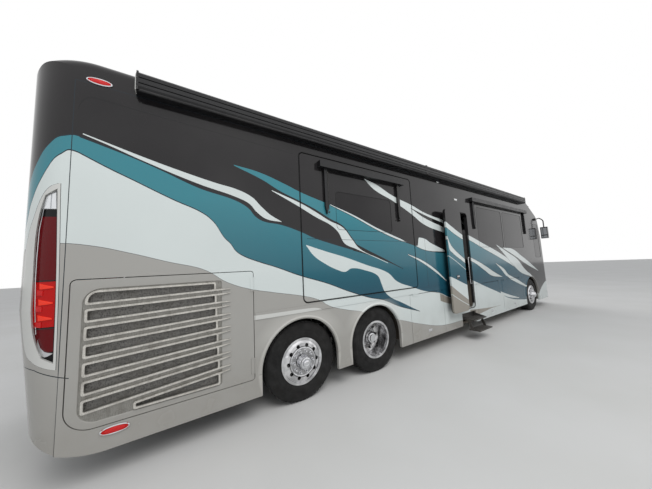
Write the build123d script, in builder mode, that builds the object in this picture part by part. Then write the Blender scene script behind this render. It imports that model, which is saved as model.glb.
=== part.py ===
from build123d import *
import math
import os

# Three-axle bus-style motorhome. Millimetres, +X forward, +Y left, +Z up, ground at Z = 0.
# The origin is the ground point under the middle of the coach.

# Overall sizes
LENGTH = 13600.0
WIDTH = 2580.0
ROOF_Z = 3980.0             # top of the roof skin
SKIRT_Z = 280.0             # lower edge of the body sides
WALL = 50.0                 # thickness of walls, caps, doors and roof
ROOF_CORNER = 110.0         # radius along the roof edges
DOOR_GAP = 8.0              # gap round anything that opens
FIT = 0.3                   # clearance between pieces that fit together

HALF = WIDTH / 2
REAR_X = -LENGTH / 2
FRONT_X = LENGTH / 2
REAR_SEAM_X = REAR_X + 420.0        # joint of rear cap and side walls
FRONT_SEAM_X = FRONT_X - 1310.0     # joint of side walls and front cap
ROOF_SEAM_Z = ROOF_Z - 270.0        # joint of side walls and roof
DRAWN_RUN = 11870.0                 # length of the side walls that the stations below are given for


def station(ahead):
    """Place along the side walls, in mm ahead of the rear seam, spread with the run of the walls."""
    return REAR_SEAM_X + ahead * (FRONT_SEAM_X - REAR_SEAM_X) / DRAWN_RUN



# Ends of the body
REAR_BOW = 150.0
FRONT_BOW = 200.0
REAR_CORNER = 300.0
FRONT_CORNER = 380.0
REAR_TOP_RADIUS = 580.0
REAR_FOOT_RADIUS = 700.0
REAR_LEAN_Z = 1560.0                # below this the rear end leans in towards its foot
REAR_LEAN = 0.1                     # run of that lean for each unit of height
SLOPE_START_X = FRONT_X - 1710.0    # where the roof starts to fall towards the windshield
BROW_X = FRONT_X - 530.0
BROW_Z = ROOF_Z - 620.0
SCREEN_FOOT_Z = 1290.0
BUMPER_TOP_Z = 1200.0
BUMPER_FOOT_Z = 560.0
SLOPE_RADIUS = 1500.0
BROW_RADIUS = 500.0

# Floor and frame
DECK_Z = (1200.0, 1280.0)
BAY_FLOOR_Z = (300.0, 340.0)
DOOR_BACK_GAP = 10.0        # from the bay floor's edge to the doors
RAIL_Y = (380.0, 480.0)
RAIL_Z = (920.0, 1200.0)
RAIL_X = (REAR_X + 520.0, FRONT_X - 620.0)
PLATFORM_Z = (1700.0, 1750.0)       # raised floor over the engine
ENGINE_WALL_X = REAR_X + 1990.0     # bulkhead in front of the engine

# Axles and wheels
FRONT_AXLE_X = station(11200.0)
DRIVE_AXLE_X = station(3750.0)
TAG_AXLE_X = station(2320.0)
TYRE_R = 530.0
TYRE_WIDTH = 300.0
RIM_SEAT_R = 291.0
RIM_FLANGE_R = 310.0
RIM_WALL = 14.0
WHEEL_Y = HALF - 185.0              # centre plane of a single wheel
DUAL_OUTER_Y = HALF - 195.0
DUAL_SPACING = 345.0
SPINDLE_R = 40.0
SPINDLE_GAP = 0.3
HAND_HOLES = 10
HAND_HOLE_R = 26.0
HAND_HOLE_CIRCLE_R = 215.0
ARCH_R = 580.0
FRONT_ARCH_R = 605.0
ARCH_LIP = 44.0
ARCH_LIP_TAPER = 55.0               # slope of the lip's flanks, in degrees
KINGPIN_Y = HALF - 360.0
KINGPIN_R = 24.0

# Entry door and step
DOORWAY_X = (station(6485.0), station(7150.0))
DOORWAY_Z = (650.0, 3010.0)
DOOR_CORNER = 80.0
ENTRY_DOOR_OUT = 110.0              # how far outboard the open door stands
ENTRY_DOOR_SLIDE = 605.0            # how far rearward the open door stands

# Right-hand slide room
SLIDE_X = (station(2360.0), station(4920.0))
SLIDE_Z = (1330.0, ROOF_SEAM_Z - 170.0)
SLIDE_DEPTH = 760.0
SLIDE_CORNER = 60.0
SLIDE_CLEAR = 10.0

# Radiator door at the right rear, with its louvre bars
RAD_DOOR_X = (REAR_SEAM_X + 45.0, station(1645.0))
RAD_DOOR_Z = (500.0, 1800.0)
RAD_DOOR_CORNERS = (40.0, 190.0, 30.0, 30.0)       # top rear, foot rear, foot front, top front
RAD_OPEN_X = (RAD_DOOR_X[0] + 80.0, RAD_DOOR_X[1] - 365.0)
RAD_OPEN_Z = (RAD_DOOR_Z[0] + 50.0, RAD_DOOR_Z[1] - 90.0)
RAD_OPEN_CORNERS = (130.0, 130.0, 25.0, 25.0)
RAD_OPEN_ROUND = 9.0        # rounding of the opening's outer edge
LOUVRE_BARS = 7
LOUVRE_REAR_PITCH = 156.0   # the bars fan out: pitch of their rear ends, and of their front ends
LOUVRE_FRONT_DROP = 127.0
LOUVRE_FRONT_PITCH = 145.0
LOUVRE_HALF = 36.0          # from a bar's middle to the slot beside it
RIDGE = 18.0                # width of the bright ridge round each slot
LOUVRE_PROUD = 14.0
LOUVRE_INSET = 38.0         # from the opening's rear edge to the slots
LOUVRE_SLANT = 50.0         # how much further forward the lowest slot ends than the highest
LOUVRE_CORNER = 12.0
LOUVRE_TOP_CORNER = 70.0    # at the top rear of the highest slot
SLOT_TIP = 360.0            # where the lowest slot runs out, from the slots' rear end
WEB_DEPTH = 8.0             # the bars' webs lie this far behind the skin
MESH_DEPTH = 12.0
SIDE_SLOTS = 8
SIDE_SLOT_PITCH = 140.0

# Luggage bay doors: side (-1 right, +1 left), rear x, front x
BAY_TOP_Z = 1190.0
BAY_DOORS = {
    "bay_door_right_rear": (-1, station(4660.0), station(5780.0)),
    "bay_door_right_middle": (-1, station(7300.0), station(8820.0)),
    "bay_door_right_front": (-1, station(8860.0), station(10380.0)),
    "bay_door_left_rear": (1, station(4660.0), station(6540.0)),
    "bay_door_left_middle": (1, station(6580.0), station(8460.0)),
    "bay_door_left_front": (1, station(8500.0), station(10380.0)),
}

# Hinge barrels of the doors, standing proud of the skin over the gap
HINGE_OUT = 6.0
HINGE_R = math.hypot(HINGE_OUT, DOOR_GAP / 2) - FIT
HINGE_LEAF = 36.0
HINGE_LENGTH = 180.0
HINGE_INSET = 160.0

# Windows in the side walls: side, rear x, front x, foot z, head z
WINDOW_CORNER = 70.0
GLASS = 12.0
GLASS_RECESS = 3.0
WINDOW_HEAD_Z = ROOF_SEAM_Z - 460.0
WINDOWS = [
    (-1, station(7720.0), station(9280.0), 2150.0, WINDOW_HEAD_Z),
    (-1, station(9380.0), station(10880.0), 2150.0, WINDOW_HEAD_Z),
    (1, station(9380.0), station(10880.0), 2150.0, WINDOW_HEAD_Z),
    (1, station(7120.0), station(8680.0), 2150.0, WINDOW_HEAD_Z),
    (1, station(4820.0), station(6380.0), 2150.0, WINDOW_HEAD_Z),
    (1, station(2020.0), station(3220.0), 2350.0, WINDOW_HEAD_Z - 100),
]
SLIDE_WINDOW = (station(2990.0), station(4290.0), 2400.0, WINDOW_HEAD_Z - 220)
CAB_WINDOW_X = (FRONT_SEAM_X + 70.0, FRONT_SEAM_X + 640.0)
CAB_WINDOW_Z = (1800.0, BROW_Z - 320)
SCREEN_HALF = HALF - 160.0
SCREEN_Z = (SCREEN_FOOT_Z + 50, BROW_Z - 70)

# Rear engine hatch
HATCH_HALF = 760.0
HATCH_HINGE_HALF = 110.0
HATCH_Z = (620.0, 1640.0)

# Awnings: rear x, front x of the long cassettes, and of the window awnings
CASSETTE_JOINT = 4.0
CASSETTES = [
    (station(460.0), station(5420.0) - CASSETTE_JOINT / 2), (station(5420.0) + CASSETTE_JOINT / 2, station(11200.0)),
]
CASSETTE_OUT = 120.0
CASSETTE_Z = (ROOF_SEAM_Z + 5, ROOF_SEAM_Z + 215)
WINDOW_AWNING_Z = (WINDOW_HEAD_Z + 110, WINDOW_HEAD_Z + 210)
WINDOW_AWNING_OUT = 90.0
ARM_FOOT_Z = WINDOW_HEAD_Z - 620

# Smaller fittings
ARCH_PROUD = 14.0
BELT_Z = (1196.0, 1284.0)
BELT_PROUD = 8.0
BELT_RUNS = {
    -1: [(RAD_DOOR_X[1] + 20, DOORWAY_X[0] - 20), (DOORWAY_X[1] + 20, FRONT_SEAM_X)],
    1: [(RAD_DOOR_X[1] + 20, FRONT_SEAM_X)],
}
STEP_SLOT_X = (DOORWAY_X[0] + 10, DOORWAY_X[1] - 10)
STEP_SLOT_Z = 560.0
STEP_TREAD_DEPTH = 230.0
STEP_TREADS = [(HALF + 240, 450.0), (HALF + 345, 235.0)]    # reach of the outer edge, top
STEP_RUN = 220.0
STRINGER = 12.0
PLATE = 40.0
DOOR_ARM_Z = (1080.0, 2620.0)
TAIL_LAMP_EDGES = [     # (behind the rear seam, height) round the lamp: front edge, then rear edge
    [(34.0, 1110.0), (40.0, 1640.0), (52.0, 2070.0), (72.0, 2625.0)],
    [(150.0, 2560.0), (196.0, 2240.0), (196.0, 1800.0), (170.0, 1340.0), (110.0, 1160.0)],
]
TAIL_LAMP_RECESS = 24.0
TAIL_LAMP_INNER_Y = HALF - 190.0
MARKER_PROUD = 12.0
MARKER_LAMPS = [    # centre x, centre z, length, height
    (REAR_SEAM_X + 380, 440.0, 180.0, 45.0),
    (REAR_SEAM_X + 170, ROOF_Z - 235, 160.0, 40.0),
]
HEADLAMP_Y = (HALF - 490.0, HALF - 100.0)
HEADLAMP_Z = (640.0, 900.0)
HEADLAMP_REAR_X = FRONT_X - 560.0
GRILLE_SLOTS = 5
GRILLE_Z = 420.0
GRILLE_PITCH = 56.0
GRILLE_HALF = 560.0
RECEIVER_Z = 510.0
RECEIVER_X = REAR_X + 250.0
RECEIVER_HALF = 38.0
RECEIVER_BORE = 51.0
RECEIVER_CUT = 60.0
RECEIVER_CUT_HALF = 115.0
LOUVRE_REACH = 95.0
SLIDE_AWNING_X = (station(2670.0), station(4630.0))
FRONT_AWNING_X = (station(7380.0), station(11280.0))
ARM_INSET = 130.0
ARM_WIDTH = 60.0
ARM_OUT = 40.0
DECK_FRONT_X = FRONT_X - 600.0
PLATFORM_REAR_X = REAR_X + 400.0
BAY_RUNS = [(station(4580.0), station(10460.0)), (FRONT_SEAM_X - 20, DECK_FRONT_X)]
SLIDE_RAILS_X = (station(2620.0), station(3640.0), station(4660.0))
CROSSMEMBERS_X = [station(2020.0 + 1500 * index) for index in range(6)] + [station(10270.0), FRONT_X - 1160]
ENGINE_X = (REAR_X + 620.0, REAR_X + 1880.0)
ENGINE_Z = (480.0, 1560.0)
GEARBOX_LENGTH = 640.0
GEARBOX_HALF = 240.0
GEARBOX_Z = (TYRE_R + 100, RAIL_Z[0] + 10)
SHAFT_Z = 700.0
DIFF_R = 230.0
BEAM_HALF = KINGPIN_Y - 230
DRIVE_TUBE_END = DUAL_OUTER_Y - 535
DRIVE_SPINDLE_END = DUAL_OUTER_Y - 35
TAG_TUBE_END = WHEEL_Y - 225
SINGLE_SPINDLE_END = WHEEL_Y + 80.0
DISH_HUB_OUT = -10.0
SPRING_R = 120.0
ARM_PLATE_Z = (580.0, 620.0)
SPRING_ARMS = [(TAG_AXLE_X, 400.0), (DRIVE_AXLE_X, 400.0), (FRONT_AXLE_X, -400.0)]
ROOF_UNITS_X = (station(2020.0), station(5720.0), station(9220.0))
ROOF_UNIT = (1050.0, 760.0, 110.0)
MIRROR_TUBE_R = 18.0
MIRROR_BEND = 90.0
MIRROR_ARM = [
    (FRONT_X - 860, HALF + 20, BROW_Z - 130), (FRONT_X - 700, HALF + 100, BROW_Z - 80),
    (FRONT_X - 560, HALF + 170, BROW_Z - 170), (FRONT_X - 560, HALF + 170, BROW_Z - 440),
]
MIRROR_HEAD_X = (FRONT_X - 620, FRONT_X - 500)
MIRROR_HEAD_Y = (HALF + 70, HALF + 270)
MIRROR_HEAD_Z = (BROW_Z - 860, BROW_Z - 430)
MIRROR_FOOT_X = (FRONT_X - 910, FRONT_X - 810)
MIRROR_FOOT_Y = (HALF, HALF + 40.0)
MIRROR_FOOT_Z = (BROW_Z - 170, BROW_Z - 90)
DASH_X = (FRONT_X - 900.0, FRONT_X - 620.0)
DASH_HALF = HALF - 140.0
DASH_TOP_Z = 1860.0
STEERING_CENTRE = (FRONT_X - 1020, 620.0, 2000.0)
STEERING_R = 215.0
SEAT_X = FRONT_X - 1600.0
SEAT_Y = 620.0
SEAT_WIDTH = 540.0

os.makedirs("parts", exist_ok=True)


def save(part, name):
    """Writes one finished node."""
    part.label = name
    export_step(part, f"parts/{name}.step")


def block(x, y, z, mode=Mode.ADD):
    """A box between two corners, each axis given as (low, high)."""
    with Locations(((x[0] + x[1]) / 2, (y[0] + y[1]) / 2, (z[0] + z[1]) / 2)):
        Box(x[1] - x[0], y[1] - y[0], z[1] - z[0], mode=mode)


def mirrored(y, side):
    """The (low, high) pair of a right-hand y range on the given side."""
    low, high = sorted((y[0] * side, y[1] * side))
    return (low, high)


def gapped(pair, gap):
    """A (low, high) pair widened by `gap` at both ends."""
    return (pair[0] - gap, pair[1] + gap)


def side_plane(side, out=0.0):
    """Plane on the body side, local x forward and local y up."""
    return Plane(origin=(0, side * (HALF + out), 0), x_dir=(1, 0, 0), z_dir=(0, -1, 0))


def side_panel(side, x, z, corner, out, depth, mode=Mode.ADD):
    """A rounded panel or opening on the body side, from `out` proud and `depth` inward."""
    with BuildSketch(side_plane(side, out)) as panel:
        with Locations(((x[0] + x[1]) / 2, (z[0] + z[1]) / 2)):
            RectangleRounded(x[1] - x[0], z[1] - z[0], corner)
    extrude(panel.sketch, amount=side * depth, mode=mode)


def shaped_panel(side, x, z, corners, out, depth, grow=0.0, mode=Mode.ADD):
    """A panel like side_panel with its own radius at each corner, widened by `grow` on every side."""
    (low, high), (foot, head) = gapped(x, grow), gapped(z, grow)
    with BuildSketch(side_plane(side, out)) as panel:
        with Locations(((low + high) / 2, (foot + head) / 2)):
            Rectangle(high - low, head - foot)
        for (corner_x, corner_z), radius in zip(((low, head), (low, foot), (high, foot), (high, head)), corners):
            fillet(panel.vertices().sort_by_distance((corner_x, corner_z, 0))[0], radius + grow)
    extrude(panel.sketch, amount=side * depth, mode=mode)


def plan_outline(inset, lean=False):
    """Plan of the body: straight sides, bowed ends, round corners. With `lean`, the ground plan of the leaning rear."""
    half = HALF - inset
    rear, front = REAR_X + inset, FRONT_X - inset
    if lean:
        rear, front = rear + REAR_LEAN * REAR_LEAN_Z, FRONT_X + ROOF_Z
    with BuildSketch(Plane.XY) as plan:
        with BuildLine():
            Line((rear + REAR_BOW, -half), (front - FRONT_BOW, -half))
            ThreePointArc((front - FRONT_BOW, -half), (front, 0), (front - FRONT_BOW, half))
            Line((front - FRONT_BOW, half), (rear + REAR_BOW, half))
            ThreePointArc((rear + REAR_BOW, half), (rear, 0), (rear + REAR_BOW, -half))
        make_face()
        fillet(plan.vertices().group_by(Axis.X)[0], REAR_CORNER - inset)
        fillet(plan.vertices().group_by(Axis.X)[-1], FRONT_CORNER - inset)
    return plan.sketch


def side_profile(inset, foot):
    """Side view of the body: rear rounding, roof, falling brow, raked windshield."""
    rear, front = REAR_X + inset - 5, FRONT_X - inset + 5
    top = ROOF_Z - inset
    with BuildSketch(Plane.XZ) as profile:
        with BuildLine():
            Polyline(
                (rear, foot),
                (rear, top),
                (SLOPE_START_X - inset * 0.3, top),
                (BROW_X - inset * 0.8, BROW_Z - inset * 0.5),
                (front - 60, SCREEN_FOOT_Z),
                (front, BUMPER_TOP_Z),
                (front, BUMPER_FOOT_Z),
                (front - 120, foot),
                (rear, foot),
            )
        make_face()
        for x, z, radius in (
            (rear, top, REAR_TOP_RADIUS - inset),
            (SLOPE_START_X, top, SLOPE_RADIUS),
            (BROW_X, BROW_Z, BROW_RADIUS - inset),
        ):
            fillet(profile.vertices().sort_by_distance((x, z, 0))[0], radius)
    return profile.sketch


def rear_foot(inset, foot):
    """Rounds the rear cap under: everything below and behind its foot arc, which all insets share a centre for."""
    radius = REAR_FOOT_RADIUS - inset
    z = SKIRT_Z + REAR_FOOT_RADIUS
    x = REAR_X + REAR_FOOT_RADIUS + REAR_LEAN * (REAR_LEAN_Z - z)
    slant = radius * math.sqrt(0.5)
    with BuildSketch(Plane.XZ) as corner:
        with BuildLine():
            ThreePointArc((x - radius, z), (x - slant, z - slant), (x, z - radius))
            Polyline((x, z - radius), (x, foot - 20), (REAR_X - 20, foot - 20), (REAR_X - 20, z), (x - radius, z))
        make_face()
    extrude(corner.sketch, amount=WIDTH, both=True, mode=Mode.SUBTRACT)


def envelope(inset, foot=SKIRT_Z):
    """The closed outer form of the body, drawn in by `inset`."""
    with BuildPart() as form:
        extrude(side_profile(inset, foot), amount=HALF - inset, both=True)
        roof_edges = [
            edge for edge in form.edges()
            if abs(abs(edge.center().Y) - (HALF - inset)) < 1 and edge.center().Z > SCREEN_FOOT_Z
            and edge.center().X > REAR_X + 100
            and (edge.center().Z > 2800 or edge.center().X > BROW_X)
        ]
        fillet(roof_edges, ROOF_CORNER - inset * 0.8)
        extrude(plan_outline(inset), amount=ROOF_Z, mode=Mode.INTERSECT)
        extrude(plan_outline(inset, lean=True), amount=ROOF_Z, dir=(-REAR_LEAN, 0, 1), mode=Mode.INTERSECT)
        rear_foot(inset, foot)
    return form.part


def arch(side, x, radius, lip):
    """Wheel arch cut through the side with a rolled lip round its edge."""
    with BuildSketch(side_plane(side, 20)) as opening:
        with Locations((x, TYRE_R)):
            Circle(radius)
        with Locations((x, TYRE_R / 2)):
            Rectangle(2 * radius, TYRE_R)
    extrude(opening.sketch, amount=side * (WALL + 40), mode=Mode.SUBTRACT)
    with BuildSketch(side_plane(side)) as ring:
        with Locations((x, TYRE_R)):
            Circle(radius + lip)
            Circle(radius, mode=Mode.SUBTRACT)
        with Locations((x, TYRE_R - 2 * radius)):
            Rectangle(4 * radius, 4 * radius, mode=Mode.SUBTRACT)
    extrude(ring.sketch, amount=-side * ARCH_PROUD, taper=ARCH_LIP_TAPER)


def upright_hinge(side, edge, z):
    """Two barrels with leaves on the front edge of a side door, their axis in mid gap."""
    for middle in (z[0] + HINGE_INSET, z[1] - HINGE_INSET):
        span = (middle - HINGE_LENGTH / 2, middle + HINGE_LENGTH / 2)
        block((edge - HINGE_LEAF, edge + DOOR_GAP / 2), mirrored((-HALF - HINGE_OUT, -HALF), -side), span)
        with Locations((edge + DOOR_GAP / 2, side * (HALF + HINGE_OUT), middle)):
            Cylinder(HINGE_R, HINGE_LENGTH)


def top_hinge(side, x, top):
    """Two barrels with leaves on the top edge of a luggage bay door."""
    for middle in (x[0] + HINGE_INSET, x[1] - HINGE_INSET):
        span = (middle - HINGE_LENGTH / 2, middle + HINGE_LENGTH / 2)
        block(span, mirrored((-HALF - HINGE_OUT, -HALF), -side), (top - HINGE_LEAF, top + DOOR_GAP / 2))
        with Locations((middle, side * (HALF + HINGE_OUT), top + DOOR_GAP / 2)):
            Cylinder(HINGE_R, HINGE_LENGTH, rotation=(0, 90, 0))


body_form = envelope(0)
with BuildPart() as shell:
    add(body_form)
    add(envelope(WALL, foot=SKIRT_Z - 100), mode=Mode.SUBTRACT)
body_shell = shell.part
FAR = LENGTH


# Tail lamps stand upright in pockets round the rear corners
def lamp_prism(side, grow):
    """The region of a tail lamp, grown on every side, from beside the coach."""
    front, rear = TAIL_LAMP_EDGES
    front = [(REAR_SEAM_X - behind + grow, z) for behind, z in front]
    rear = [(REAR_SEAM_X - behind - grow, z) for behind, z in rear]
    front[0], front[-1] = (front[0][0], front[0][1] - grow), (front[-1][0], front[-1][1] + grow)
    rear[0], rear[-1] = (rear[0][0], rear[0][1] + grow), (rear[-1][0], rear[-1][1] - grow)
    with BuildPart() as prism:
        with BuildSketch(side_plane(side, 50)) as outline:
            with BuildLine():
                Spline(*front)
                Line(front[-1], rear[0])
                Spline(*rear)
                Line(rear[-1], front[0])
            make_face()
        extrude(outline.sketch, amount=side * (HALF + 50 - TAIL_LAMP_INNER_Y))
    return prism.part


def front_prism(side, grow):
    """The region of a headlamp, grown on every side, from the front."""
    with BuildPart() as prism:
        with BuildSketch(Plane.YZ.offset(HEADLAMP_REAR_X - grow)):
            with Locations((side * sum(HEADLAMP_Y) / 2, sum(HEADLAMP_Z) / 2)):
                RectangleRounded(
                    HEADLAMP_Y[1] - HEADLAMP_Y[0] + 2 * grow, HEADLAMP_Z[1] - HEADLAMP_Z[0] + 2 * grow, 60
                )
        extrude(amount=900)
    return prism.part


def screen_prism(shrink):
    """The windshield's region, from the front."""
    with BuildPart() as prism:
        with BuildSketch(Plane.YZ.offset(BROW_X - 330)):
            with Locations((0, sum(SCREEN_Z) / 2)):
                RectangleRounded(2 * (SCREEN_HALF - shrink), SCREEN_Z[1] - SCREEN_Z[0] - 2 * shrink, 140)
        extrude(amount=1000)
    return prism.part


with BuildPart() as recessed:
    add(envelope(TAIL_LAMP_RECESS))
    add(envelope(WALL, foot=SKIRT_Z - 100), mode=Mode.SUBTRACT)
tail_lamps = {side: recessed.part & lamp_prism(side, 0) for side in (-1, 1)}
front_lamps = {side: body_shell & front_prism(side, 0) for side in (-1, 1)}

with BuildPart() as rear_cap:
    add(body_shell)
    block((REAR_SEAM_X, FAR), (-HALF - 50, HALF + 50), (0, ROOF_Z + 50), mode=Mode.SUBTRACT)
    block((REAR_X - 100, REAR_SEAM_X - 100), (-HATCH_HALF, HATCH_HALF), HATCH_Z, mode=Mode.SUBTRACT)
    block((REAR_X - 100, REAR_SEAM_X - 40), (-RECEIVER_CUT_HALF, RECEIVER_CUT_HALF),
          (RECEIVER_Z - RECEIVER_CUT, RECEIVER_Z + RECEIVER_CUT), mode=Mode.SUBTRACT)
    for side in (-1, 1):
        add(lamp_prism(side, 0.3), mode=Mode.SUBTRACT)
save(rear_cap.part, "rear_cap")

with BuildPart() as engine_hatch:
    add(body_shell)
    add(Box(FAR, FAR, FAR, mode=Mode.PRIVATE).moved(Location((REAR_SEAM_X - 100 + FAR / 2, 0, 0))),
        mode=Mode.SUBTRACT)
    block((REAR_X - 100, REAR_SEAM_X), (-HATCH_HALF + DOOR_GAP, HATCH_HALF - DOOR_GAP),
          gapped(HATCH_Z, -DOOR_GAP), mode=Mode.INTERSECT)
    block((REAR_X - HINGE_OUT, REAR_X + 10), (-HATCH_HINGE_HALF, HATCH_HINGE_HALF),
          (HATCH_Z[1] - DOOR_GAP - HINGE_LEAF, HATCH_Z[1] - DOOR_GAP))
    block((REAR_X - HINGE_OUT, REAR_X), (-HATCH_HINGE_HALF, HATCH_HINGE_HALF),
          (HATCH_Z[1] - DOOR_GAP, HATCH_Z[1] - DOOR_GAP / 2))
    with Locations((REAR_X - HINGE_OUT, 0, HATCH_Z[1] - DOOR_GAP / 2)):
        Cylinder(HINGE_R, 2 * HATCH_HINGE_HALF, rotation=(90, 0, 0))
save(engine_hatch.part, "engine_hatch")

# Tail lamps, the two side marker lamps at the rear, and their upper pair
with BuildPart() as red_lamps:
    for side in (-1, 1):
        add(tail_lamps[side])
        for x, z, length, height in MARKER_LAMPS:
            y = mirrored((HALF, HALF + MARKER_PROUD), side)
            block((x - length / 2, x + length / 2), y, (z - height / 2, z + height / 2))
save(red_lamps.part, "red_lamps")

with BuildPart() as front_cap:
    add(body_shell)
    block((-FAR, FRONT_SEAM_X), (-HALF - 50, HALF + 50), (0, ROOF_Z + 50), mode=Mode.SUBTRACT)
    add(screen_prism(0), mode=Mode.SUBTRACT)
    for side in (-1, 1):
        side_panel(side, CAB_WINDOW_X, CAB_WINDOW_Z, WINDOW_CORNER, 5, WALL + 10, mode=Mode.SUBTRACT)
        add(front_prism(side, 0.3), mode=Mode.SUBTRACT)
    for index in range(GRILLE_SLOTS):
        z = GRILLE_Z + index * GRILLE_PITCH
        block((FRONT_X - 400, FRONT_X + 50), (-GRILLE_HALF, GRILLE_HALF),
              (z, z + GRILLE_PITCH / 2), mode=Mode.SUBTRACT)
save(front_cap.part, "front_cap")

with BuildPart() as headlamps:
    for side in (-1, 1):
        add(front_lamps[side])
save(headlamps.part, "headlamps")

with BuildPart() as roof:
    add(body_shell)
    block((REAR_SEAM_X, FRONT_SEAM_X), (-FAR, FAR), (ROOF_SEAM_Z, ROOF_Z + 50), mode=Mode.INTERSECT)
save(roof.part, "roof")


def side_wall(side):
    """One side wall with its arches, doorways, windows and hatches cut."""
    y = mirrored((HALF - WALL, HALF + 50), side)
    with BuildPart() as wall:
        block((REAR_SEAM_X, FRONT_SEAM_X), mirrored((HALF - WALL, HALF), side), (SKIRT_Z, ROOF_SEAM_Z))
        rear_foot(0, SKIRT_Z)
        for low, high in BELT_RUNS[side]:
            block((low, high), mirrored((HALF, HALF + BELT_PROUD), side), BELT_Z)
        arch(side, TAG_AXLE_X, ARCH_R, ARCH_LIP)
        arch(side, DRIVE_AXLE_X, ARCH_R, ARCH_LIP)
        arch(side, FRONT_AXLE_X, FRONT_ARCH_R, ARCH_LIP)
        shaped_panel(side, RAD_DOOR_X, RAD_DOOR_Z, RAD_DOOR_CORNERS, 50, WALL + 100, DOOR_GAP, Mode.SUBTRACT)
        for door_side, low, high in BAY_DOORS.values():
            if door_side == side:
                block((low - DOOR_GAP, high + DOOR_GAP), mirrored((HALF - 2 * WALL, HALF + 50), side),
                      (0, BAY_TOP_Z), mode=Mode.SUBTRACT)
        for window_side, low, high, foot, head in WINDOWS:
            if window_side == side:
                side_panel(side, (low, high), (foot, head), WINDOW_CORNER, 5, WALL + 10, mode=Mode.SUBTRACT)
        if side < 0:
            side_panel(side, gapped(SLIDE_X, SLIDE_CLEAR), gapped(SLIDE_Z, SLIDE_CLEAR),
                       SLIDE_CORNER + SLIDE_CLEAR, 50, WALL + 100, mode=Mode.SUBTRACT)
            side_panel(side, DOORWAY_X, DOORWAY_Z, DOOR_CORNER, 50, WALL + 100, mode=Mode.SUBTRACT)
            block(STEP_SLOT_X, mirrored((HALF - 2 * WALL, HALF + 50), side), (0, STEP_SLOT_Z),
                  mode=Mode.SUBTRACT)
    return wall.part


save(side_wall(-1), "right_wall")
save(side_wall(1), "left_wall")


# Side doors over the engine room
with BuildPart() as radiator_door:
    shaped_panel(-1, RAD_DOOR_X, RAD_DOOR_Z, RAD_DOOR_CORNERS, 0, WALL)
    shaped_panel(-1, RAD_OPEN_X, RAD_OPEN_Z, RAD_OPEN_CORNERS, 5, WALL + 10, mode=Mode.SUBTRACT)
    opening_edges = [
        edge for edge in radiator_door.edges().group_by(Axis.Y)[0]
        if RAD_OPEN_X[0] - 1 < edge.center().X < RAD_OPEN_X[1] + 1 and RAD_OPEN_Z[0] - 1 < edge.center().Z < RAD_OPEN_Z[1] + 1
    ]
    fillet(opening_edges, RAD_OPEN_ROUND)
    upright_hinge(-1, RAD_DOOR_X[1], RAD_DOOR_Z)
save(radiator_door.part, "radiator_door")


def bar_ends(index):
    """Heights of the rear and front ends of a louvre bar's middle line, counted from the top."""
    if index == 0:
        return RAD_OPEN_Z[1] - RIDGE + LOUVRE_HALF - 12, RAD_OPEN_Z[1] - RIDGE + LOUVRE_HALF - 12
    if index > LOUVRE_BARS:
        return RAD_OPEN_Z[0] + RIDGE - LOUVRE_HALF + 12, RAD_OPEN_Z[0] + RIDGE - LOUVRE_HALF + 12
    return (RAD_OPEN_Z[1] - index * LOUVRE_REAR_PITCH,
            RAD_OPEN_Z[1] - LOUVRE_FRONT_DROP - (index - 1) * LOUVRE_FRONT_PITCH)


LOUVRE_REAR_X = RAD_OPEN_X[0] + LOUVRE_INSET


def front_end(index):
    """Where the slots end at the front, further forward towards the foot."""
    return RAD_OPEN_X[1] - RIDGE - 12 - LOUVRE_SLANT * (1 - index / (LOUVRE_BARS + 1))


def on_line(index, x):
    """Height of a bar's middle line at x."""
    rear, front = bar_ends(index)
    return rear + (front - rear) * (x - LOUVRE_REAR_X) / (RAD_OPEN_X[1] - LOUVRE_REAR_X)


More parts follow.
